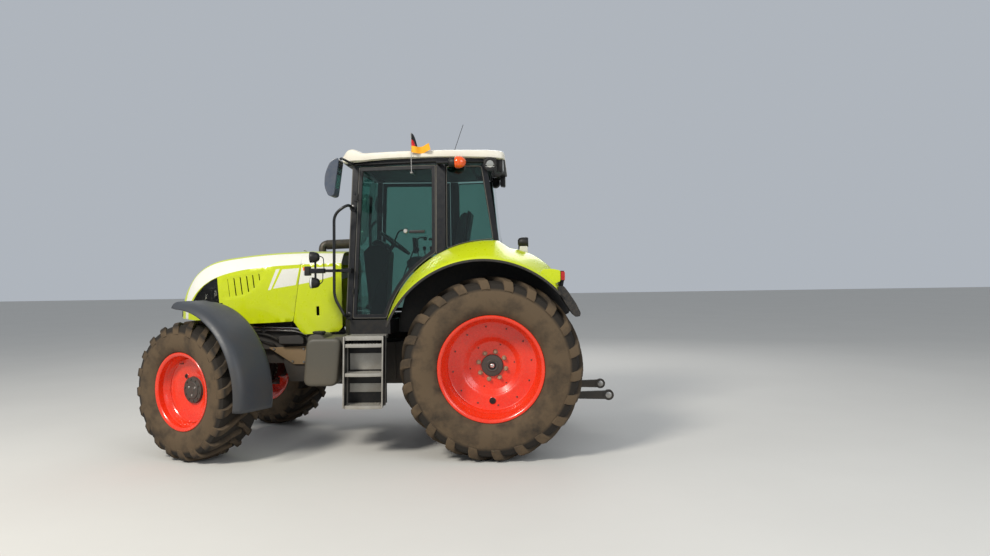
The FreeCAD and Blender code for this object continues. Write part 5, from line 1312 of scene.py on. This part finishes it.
def make_lamps():
    """Lamp arms ahead of the cab, tail lamps, work lamps and beacon."""
    arm = block((1.392, 0.794, 1.810), (1.700, 0.826, 1.840), "black", 0.008)
    arm += block((1.650, 0.784, 1.800), (1.806, 0.848, 1.850), "black", 0.010)
    arm += block((1.388, 0.7385, 1.800), (1.422, 0.830, 1.850), "black", 0.006)
    arm += tube([(1.748, 0.810, 1.680), (1.748, 0.810, 1.990)], 0.011, "black", bend=0)
    for z, glass_radius in ((1.961, 0.047), (1.707, 0.056)):
        bowl = [(0, 0.018), (0.08, 0.034), (0.30, 0.048), (0.65, 0.054), (0.95, 0.055), (1.0, 0.052),
                (0.97, 0.046)]
        arm += drum((1.698, 0.833, z), (1.792, 0.842, z), bowl, "trim", 36)
        arm += drum((1.772, 0.840, z), (1.797, 0.842, z), chamfered(glass_radius, 0.032, 0.6), "lens", 36)
        arm += block((1.738, 0.800, z - 0.012), (1.758, 0.830, z + 0.012), "black", 0.003)
    arm += tube([(1.752, 0.846, 1.972), (1.70, 0.862, 1.975), (1.655, 0.848, 1.955), (1.660, 0.815, 1.842)],
            0.0045, "rubber", 0.03)
    arm += tube([(1.752, 0.846, 1.700), (1.695, 0.858, 1.690), (1.668, 0.835, 1.720),
            (1.672, 0.815, 1.812)], 0.0045, "rubber", 0.03)
    arm += block((1.795, 0.778, 1.778), (1.848, 0.856, 1.872), "trim", 0.010)
    arm += block((1.842, 0.786, 1.828), (1.862, 0.848, 1.866), "orange", 0.006)
    arm += block((1.842, 0.786, 1.784), (1.862, 0.848, 1.822), "lens", 0.006)
    tail = block((-0.700, 1.012, 1.692), (-0.665, 1.178, 1.788), "trim", 0.008)
    tail += block((-0.707, 1.018, 1.698), (-0.696, 1.066, 1.782), "orange", 0.004)
    tail += block((-0.707, 1.069, 1.698), (-0.696, 1.134, 1.782), "lamp_red", 0.004)
    tail += block((-0.707, 1.137, 1.698), (-0.696, 1.172, 1.782), "lens", 0.004)
    tail += block((-0.704, 1.168, 1.700), (-0.668, 1.184, 1.780), "lamp_red", 0.005)
    box = rounded_loop([(-0.666, 1.690), (-0.666, 1.790), (-0.600, 1.806), (-0.500, 1.806), (-0.470, 1.760),
            (-0.600, 1.660)], 0.02, 4)
    tail += across(box, 1.018, 1.176, "green", 0.010, segments=3)
    tail += across([(-0.650, 1.657), (-0.6842, 1.6083), (-0.700, 1.694), (-0.662, 1.694)], 1.089, 1.101,
            "trim", 0.002)
    work = across([(-0.128, 2.800), (-0.118, 2.790), (-0.070, 2.800), (-0.070, 2.918), (-0.128, 2.926)],
            0.560, 0.690, "trim", 0.008)
    work += block((-0.134, 0.572, 2.806), (-0.124, 0.678, 2.906), "lens", 0.006)
    work += drum((-0.004, 0.722, 2.858), (-0.004, 0.770, 2.856), [(0, 0.052), (0.6, 0.064), (0.95, 0.064),
            (1, 0.058), (0.97, 0.050)], "trim", 32)
    work += drum((-0.004, 0.758, 2.857), (-0.004, 0.770, 2.856), chamfered(0.050, 0.030, 0.5), "reflector",
            32)
    for lift in (-0.024, 0.0, 0.024):
        work += block((-0.048, 0.764, 2.8545 + lift), (0.040, 0.7695, 2.8575 + lift), "lens", 0.001)
    work += block((-0.066, 0.716, 2.880), (0.060, 0.736, 2.920), "trim", 0.006)
    piece("front_lamps_skin", "chassis", both_sides(arm), ["front_lamps"], sharp=40)
    piece("tail_lamps_skin", "chassis", both_sides(tail), ["tail_lamps"], sharp=40)
    piece("work_lamps_skin", "chassis", both_sides(work), ["work_lamps"], sharp=40)
    light = tube([(0.520, 0.860, 2.870), (0.400, 0.860, 2.870)], 0.013, "black", bend=0, sides=14)
    light += block((0.482, 0.764, 2.858), (0.518, 0.866, 2.882), "black", 0.005)
    light += drum((0.402, 0.860, 2.870), (0.335, 0.860, 2.870), [(0, 0.024), (0.15, 0.040), (0.7, 0.046),
            (1, 0.046)], "trim", 36)
    dome = [(0, 0.050), (0.06, 0.056), (0.30, 0.060), (0.45, 0.059), (0.60, 0.055), (0.74, 0.047),
            (0.86, 0.036), (0.95, 0.022), (1.0, 0.006)]
    light += drum((0.337, 0.860, 2.870), (0.226, 0.860, 2.870), dome, "orange", 48)
    for share in (0.14, 0.24, 0.34, 0.44):
        light += drum((0.337 - 0.111 * (share - 0.02), 0.860, 2.870),
                (0.337 - 0.111 * (share + 0.02), 0.860, 2.870), [(0, 0.0585), (0.5, 0.0615), (1, 0.0585)],
                "orange", 48)
    piece("beacon_skin", "chassis", light, ["beacon"], sharp=50)


def make_exhaust():
    """The exhaust that rises on the far side, with its guard."""
    path = [(1.978, -0.440, 1.850), (1.978, -0.506, 1.850), (2.025, -0.506, 2.010), (2.025, -0.506, 2.150),
            (1.580, -0.655, 2.165), (1.530, -0.670, 2.740)]
    chunks = tube(path, 0.044, "exhaust", 0.09, sides=24, steps=10)
    foot = Vector((1.5705, -0.657, 2.240))
    head = foot + Vector((-0.0418, 0, 0.4782))
    chunks += drum(foot, head, [(0, 0.052), (0.01, 0.072), (0.03, 0.075), (0.97, 0.075), (0.99, 0.072),
            (1, 0.052)], "exhaust", 40)
    for share in (0.10, 0.90):
        spot = foot.lerp(head, share)
        step = (head - foot).normalized() * 0.008
        chunks += drum(spot - step, spot + step, [(0, 0.0765), (0.2, 0.078), (0.8, 0.078), (1, 0.0765)],
                "steel", 40)
    for level in range(9):
        for x, y in circle(10, 1, math.pi / 10 * (level % 2)):
            out = Vector((x, y, 0))
            spot = foot.lerp(head, 0.18 + 0.08 * level) + out * 0.0742
            chunks += drum(spot, spot + out * 0.0016, [(0, 0.011), (1, 0.010)], "rubber", 10)
    chunks += drum((1.985, -0.518, 2.142), (1.640, -0.634, 2.158),
            [(0, 0.040), (0.02, 0.056), (0.98, 0.056), (1, 0.045)], "exhaust", 32)
    piece("exhaust_skin", "chassis", chunks, ["exhaust"], sharp=40)


make_doors()
make_cab_trim()
make_rails_and_mirrors()
make_lamps()
make_exhaust()


# Tank, battery box and steps

def make_tank():
    """The fuel tank: a blow-moulded body with a filler."""
    outline = rounded_loop([(1.502, 0.700), (1.837, 0.702), (1.796, 1.168), (1.452, 1.168)], 0.080, 8)
    chunks = across(outline, 0.470, 1.000, "tank", 0.055, segments=6)
    shoulder = rounded_loop([(1.392, 1.120), (1.500, 1.080), (1.540, 1.178), (1.400, 1.178)], 0.030, 5)
    chunks += across(shoulder, 0.500, 0.960, "tank", 0.026, segments=4)
    hump = rounded_loop([(1.600, 1.120), (1.795, 1.120), (1.782, 1.190), (1.730, 1.206), (1.650, 1.200)],
            0.040, 5)
    chunks += across(hump, 0.620, 0.975, "tank", 0.028, segments=4)
    chunks += drum((1.700, 0.880, 1.196), (1.700, 0.880, 1.232), [(0, 0.055), (0.4, 0.055), (0.42, 0.062),
            (0.9, 0.062), (1.0, 0.054)], "trim", 32)
    for x, y in circle(12, 0.061):
        spot = (1.700 + x, 0.880 + y)
        chunks += drum((*spot, 1.213), (*spot, 1.228), chamfered(0.005, 0.003), "trim", 8)
    piece("tank_skin", "chassis", chunks, ["fuel_tank"], sharp=40)
    box_loop = rounded_loop([(1.480, 0.740), (1.820, 0.740), (1.800, 1.120), (1.480, 1.120)], 0.02, 4)
    chunks = across(box_loop, -1.000, -0.470, "trim", 0.012, segments=3)
    chunks += slab([(1.500, 0.765), (1.790, 0.765), (1.778, 1.095), (1.500, 1.095)], 0.02, 4, -1.006,
            -0.998, "trim", 0.004)
    for x in (1.56, 1.72):
        chunks += block((x - 0.014, -1.012, 1.02), (x + 0.014, -1.002, 1.10), "steel", 0.003)
    chunks += tube([(1.50, -1.004, 0.93), (1.50, -1.020, 0.93), (1.50, -1.020, 0.99), (1.50, -1.004, 0.99)],
            0.005, "steel", 0.01)
    piece("battery_box_skin", "chassis", chunks, ["battery_box"], sharp=40)


def make_steps():
    """Steps on both sides: two rails, three gripping treads and the deck above them."""
    one = []
    for x in (1.405, 1.030):
        rail = rounded_loop([(x, 1.1897), (x + 0.018, 0.500), (x + 0.030, 0.500), (x + 0.012, 1.1897)],
                0.004, 3)
        one += across(rail, 0.900, 0.935, "tread", 0.003)
        one += across(rail, 1.045, 1.080, "tread", 0.003)
        web = [(x + 0.003, 1.180), (x + 0.020, 0.510), (x + 0.027, 0.510), (x + 0.010, 1.180)]
        one += across(web, 0.935, 1.045, "trim", 0.001)
    for z in (0.511, 0.822, 1.102):
        x0 = 1.042 + (1.15 - z) * 0.026
        x1 = 1.405 + (1.15 - z) * 0.026
        outer = [(x1 + (x0 - x1) * t / 10, 1.064 + 0.020 * (1 - (t / 5 - 1) ** 2)) for t in range(11)]
        inner = [(x, y - 0.016) for x, y in reversed(outer)]
        one += across([(x0, 0.874), (x1, 0.874)] + [(x, y - 0.006) for x, y in outer], z + 0.002, z + 0.012,
                "tread", 0.002, axis="z")
        one += across(outer + inner, z - 0.020, z + 0.013, "tread", 0.005, axis="z")
        one += block((x0, 0.872, z - 0.014), (x1, 0.884, z + 0.012), "tread", 0.003)
        for row in range(4):
            for column in range(11):
                x = x0 + 0.022 + column * (x1 - x0 - 0.044) / 10
                y = 0.902 + row * 0.045 + 0.010 * (column % 2)
                one += drum((x, y, z + 0.011), (x, y, z + 0.0155), [(0, 0.0085), (1, 0.0060)], "tread", 8)
    deck = [(1.036, 1.150), (1.410, 1.150), (1.410, 1.1897), (1.036, 1.1897)]
    one += slab(deck, 0.008, 3, 0.780, 1.060, "tread", 0.004)
    one += across([(1.052, 0.850), (1.396, 0.850), (1.396, 1.010), (1.052, 1.010)], 0.882, 0.890, "tread",
            0.003)
    one += across([(1.058, 0.630), (1.404, 0.630), (1.402, 0.715), (1.056, 0.715)], 0.882, 0.890, "tread",
            0.003)
    # A black panel behind the steps: painted shade, standing in for the shadow behind them
    one += across([(1.040, 0.520), (1.434, 0.520), (1.412, 1.140), (1.034, 1.140)], 0.872, 0.880, "trim",
            0.003)
    piece("steps_skin", "chassis", both_sides(one), ["steps"], sharp=40)


def make_flank():
    """Pipes, filter box and plate between the front wheel and the tank, on both sides."""
    chunks = tube([(2.62, 0.262, 1.242), (2.42, 0.290, 1.236), (2.10, 0.295, 1.226), (1.98, 0.262, 1.19)],
            0.014, "chrome", 0.06, sides=14)
    chunks += tube([(2.60, 0.262, 1.205), (2.38, 0.285, 1.205), (2.12, 0.290, 1.196), (2.00, 0.262, 1.15)],
            0.010, "steel", 0.06, sides=14)
    chunks += tube([(2.55, 0.258, 1.170), (2.42, 0.290, 1.160), (2.31, 0.300, 1.110), (2.29, 0.262, 1.070)],
            0.012, "rubber", 0.07, sides=12)
    chunks += tube([(2.56, 0.250, 1.100), (2.46, 0.285, 1.095), (2.36, 0.290, 1.065), (2.34, 0.262, 1.030)],
            0.009, "rubber", 0.07, sides=12)
    for x in (2.16, 2.46):
        chunks += slab([(x - 0.012, 1.180), (x + 0.012, 1.180), (x + 0.012, 1.262), (x - 0.012, 1.262)],
                0.006, 3, 0.240, 0.296, "casting", 0.003)
    body_loop = rounded_loop([(2.020, 1.055), (2.285, 1.060), (2.285, 1.142), (2.060, 1.150),
            (2.020, 1.120)], 0.020, 4)
    chunks += across(body_loop, 0.241, 0.330, "casting", 0.012, segments=3)
    plate = rounded_loop([(2.420, 1.017), (2.006, 1.030), (2.012, 0.836), (2.150, 0.838)], 0.012, 3)
    chunks += across(plate, 0.250, 0.262, "plate", 0.004)
    for x, z in ((2.04, 1.00), (2.36, 1.000), (2.04, 0.86), (2.16, 0.868)):
        chunks += outwards(x, z, 0.260, 0.272, chamfered(0.014, 0.011, 0.7), "steel", 6)
    piece("flank_left", "chassis", chunks, sharp=40)
    piece("flank_right", "chassis", mirrored(chunks, -1), sharp=40)


# Inside the cab

def cushion(middle, size, crown, finish, channels=(), steps=26):
    """A padded cushion: crowned, its sides pulled in between its corners, with sewn channels across it."""
    rows = []
    for i in range(steps + 1):
        u = -1 + 2 * i / steps
        row = []
        for j in range(steps + 1):
            v = -1 + 2 * j / steps
            pull = 1 - 0.035 * (1 - abs(v) ** 2)
            pull_v = 1 - 0.035 * (1 - abs(u) ** 2)
            fall = (1 - abs(u) ** 5) * (1 - abs(v) ** 5)
            height = 0.5 + crown * fall ** 0.45 - 0.5 * (1 - fall ** 0.35)
            for line in channels:
                height -= 0.10 * math.exp(-((v - line) / 0.035) ** 2) * fall ** 0.5
            row.append((u * size[0] / 2 * pull, v * size[1] / 2 * pull_v, height * size[2]))
        rows.append(row)
    points = [Vector(p) for row in rows for p in row]
    width = steps + 1
    faces = [[a * width + b, (a + 1) * width + b, (a + 1) * width + b + 1,
            a * width + b + 1] for a in range(steps) for b in range(steps)]
    edge = [a * width for a in range(steps)] + [steps * width + b for b in range(steps)]
    edge += [(steps - a) * width + steps for a in range(steps)] + [steps - b for b in range(steps)]
    low = len(points)
    for index in edge:
        p = points[index]
        points.append(Vector((p.x * 0.985, p.y * 0.985, -size[2] * 0.42)))
    count = len(edge)
    for index in range(count):
        after = (index + 1) % count
        faces.append([edge[after], edge[index], low + index, low + after])
    faces.append([low + index for index in range(count)][::-1])
    shift = Matrix.Translation(middle)
    return moved([(points, faces, finish)], shift)


def make_seat():
    """The driver's seat: padded cushion and back on a suspended base, with arm rests."""
    base = block((0.420, -0.150, 1.482), (0.700, 0.150, 1.520), "trim", 0.010)
    for level in range(6):
        z = 1.530 + 0.030 * level
        base += block((0.430 + 0.004 * (level % 2), -0.140, z - 0.012),
                (0.690 - 0.004 * (level % 2), 0.140, z + 0.012), "rubber", 0.010)
    base += block((0.400, -0.170, 1.705), (0.730, 0.170, 1.742), "trim", 0.010)
    base += slab([(0.335, 1.742), (0.815, 1.742), (0.820, 1.775), (0.360, 1.775)], 0.01, 3, -0.235, 0.235,
            "trim", 0.008)
    base += slab([(0.322, 1.862), (0.226, 2.430), (0.262, 2.455), (0.352, 1.880)], 0.01, 3, -0.215, 0.215,
            "trim", 0.010)
    for side in (1, -1):
        low, high = sorted((0.255 * side, 0.315 * side))
        base += slab([(0.335, 1.800), (0.395, 1.800), (0.400, 1.985), (0.335, 1.985)], 0.02, 3,
                min(0.252 * side, 0.285 * side), max(0.252 * side, 0.285 * side), "trim", 0.006)
        base += block((0.302, low, 1.985), (0.638, high, 2.035), "seat", 0.020)
    piece("seat_frame", "chassis", base, ["seat"], sharp=40)
    pad = piece("seat_cushion_pad", "chassis", cushion((0.585, 0, 1.812), (0.465, 0.490, 0.075), 0.30,
            "seat", (-0.52, 0.52)), sharp=60)
    lean = Matrix.Translation((0.345, 0, 2.165)) @ Matrix.Rotation(math.radians(80), 4, "Y")
    back = piece("seat_back_pad", "chassis", moved(cushion((0, 0, 0), (0.540, 0.470, 0.070), 0.30, "seat",
            (-0.52, 0.52)), lean), sharp=60)


def make_cab_inside():
    """Console, control panel, levers and linings inside the cab."""
    column = rounded_loop([(1.180, 1.231), (1.330, 1.231), (1.405, 2.030), (1.330, 2.098), (1.218, 2.106),
            (1.122, 2.030)], 0.03, 5)
    chunks = across(column, -0.158, 0.158, "trim", 0.020, segments=3)
    hood_loop = rounded_loop([(1.16, 2.06), (1.27, 2.085), (1.325, 2.125), (1.26, 2.165), (1.17, 2.120)],
            0.02, 4)
    chunks += across(hood_loop, -0.150, 0.150, "trim", 0.015, segments=3)
    chunks += across([(1.166, 2.075), (1.172, 2.070), (1.192, 2.112), (1.186, 2.117)], -0.120, 0.120,
            "lens", 0.003)
    panel = rounded_loop([(0.36, 1.80), (0.98, 1.80), (1.02, 1.93), (0.94, 1.985), (0.40, 1.960)], 0.03, 5)
    chunks += across(panel, -0.480, -0.340, "trim", 0.020, segments=3)
    for x, height in ((0.62, 0.12), (0.72, 0.10), (0.80, 0.10), (0.88, 0.09)):
        chunks += tube([(x, -0.41, 1.96), (x + 0.012, -0.41, 1.96 + height)], 0.006, "steel", bend=0)
        chunks += drum((x + 0.010, -0.41, 1.95 + height), (x + 0.016, -0.41, 2.00 + height),
                [(0, 0.008), (0.3, 0.018), (0.8, 0.020), (1, 0.010)], "rubber", 20)
    chunks += slab([(0.90, 2.02), (0.935, 2.02), (0.945, 2.20), (0.905, 2.20)], 0.01, 3, -0.560, -0.360,
            "trim", 0.008)
    for y in (-0.10, 0.02, 0.12):
        chunks += across([(1.09, 1.34), (1.16, 1.30), (1.17, 1.31), (1.10, 1.355)], y - 0.035, y + 0.035,
                "rubber", 0.004)
        chunks += tube([(1.135, y, 1.33), (1.17, y, 1.52)], 0.008, "trim", bend=0)
    chunks += block((0.46, -0.540, 1.232), (1.16, 0.540, 1.240), "rubber", 0.004)
    chunks += slab([(0.20, 2.865), (1.28, 2.865), (1.28, 2.925), (0.20, 2.925)], 0.02, 4, -0.55, 0.55,
            "trim", 0.010)
    piece("cab_linings", "chassis", chunks, ["steering_console"], sharp=40)


# Underneath and behind

def make_underside():
    """Ribs, covers and bolts on the castings."""
    chunks = []
    for x in (-0.10, 0.12, 0.34, 0.76, 1.06, 1.36):
        for side in (1, -1):
            low, high = sorted((0.246 * side, 0.262 * side))
            chunks += block((x - 0.010, low, 0.66), (x + 0.010, high, 1.06), "casting", 0.004)
    for side in (1, -1):
        low, high = sorted((0.236 * side, 0.256 * side))
        chunks += slab([(1.78, 1.18), (2.62, 1.18), (2.62, 1.24), (1.78, 1.24)], 0.02, 3, low, high,
                "casting", 0.006)
        for index in range(4):
            x = 1.90 + 0.20 * index
            chunks += slab([(x - 0.075, 1.30), (x + 0.075, 1.30), (x + 0.075, 1.46), (x - 0.075, 1.46)],
                    0.02, 3, low, high, "casting", 0.008)
        for index in range(9):
            x = 1.78 + 0.10 * index
            chunks += outwards(x, 1.21, 0.252 * side, 0.266 * side, chamfered(0.011, 0.009), "steel", 6)
    for side in (1, -1):
        for x, z in circle(10, 0.1430):
            chunks += outwards(x, REAR_RADIUS + z, 0.289 * side, 0.302 * side, chamfered(0.013, 0.010),
                    "steel", 6)
    piece("casting_details", "chassis", chunks, sharp=40)


def make_axle_details():
    """Bolts and seals on the front axle and its swivels."""
    for name, side in SIDES:
        chunks = []
        for x, z in circle(12, 0.106):
            chunks += outwards(x, z, 0.090, 0.080, chamfered(0.010, 0.008), "steel", 6)
        for z, way in ((0.175, 1), (-0.175, -1)):
            chunks += drum((0, 0, z), (0, 0, z + 0.010 * way), chamfered(0.056, 0.050, 0.7), "casting", 32)
            for x, y in circle(6, 0.040):
                chunks += drum((x, y, z + 0.009 * way), (x, y, z + 0.017 * way), chamfered(0.008, 0.006),
                        "steel", 6)
        piece(f"{name}_swivel_details", f"{name}_swivel", mirrored(chunks, side),
              where=(WHEELBASE, KINGPIN_Y * side, FRONT_RADIUS), turn=-STEER)
    nose = []
    for side in (1, -1):
        for z in (0.84, 0.92):
            nose += drum((3.399, 0.11 * side, z), (3.403, 0.11 * side, z), [(0, 0.020), (1, 0.018)],
                    "steel", 24)
    piece("front_support_rings", "chassis", nose)


def make_rear():
    """Hoses and couplings round the linkage, and the ends of the lower links."""
    chunks = []
    for side in (1, -1):
        chunks += tube([(-0.335, 0.215 * side, 1.02), (-0.36, 0.225 * side, 0.98),
                (-0.40, 0.222 * side, 0.90)], 0.010, "rubber", 0.03)
        for column in (0.075, 0.115):
            for z in (1.02, 1.08):
                y = column * side
                chunks += drum((-0.330, y, z), (-0.362, y, z), [(0, 0.018), (0.6, 0.018), (0.65, 0.014),
                        (1, 0.014)], "steel", 20)
                chunks += drum((-0.360, y, z), (-0.372, y, z), chamfered(0.017, 0.012), "rubber", 20)
    piece("rear_couplings", "chassis", chunks, sharp=40)
    arms = []
    for side in (1, -1):
        y = 0.4025 * side
        arms += outwards(-1.180, 0.500, y - 0.0215, y + 0.0215,
                [(0, 0.0535), (0.08, 0.0545), (0.92, 0.0545), (1, 0.0535)], "casting", 36)
        arms += outwards(-1.180, 0.500, y - 0.0235, y - 0.0200, [(0, 0.030), (1, 0.036)], "steel", 28)
        arms += outwards(-1.180, 0.500, y + 0.0200, y + 0.0235, [(0, 0.036), (1, 0.030)], "steel", 28)
    piece("link_ends", "lower_links", arms, sharp=40)


make_tank()
make_steps()
make_flank()
make_seat()
make_cab_inside()
make_underside()
make_axle_details()
make_rear()
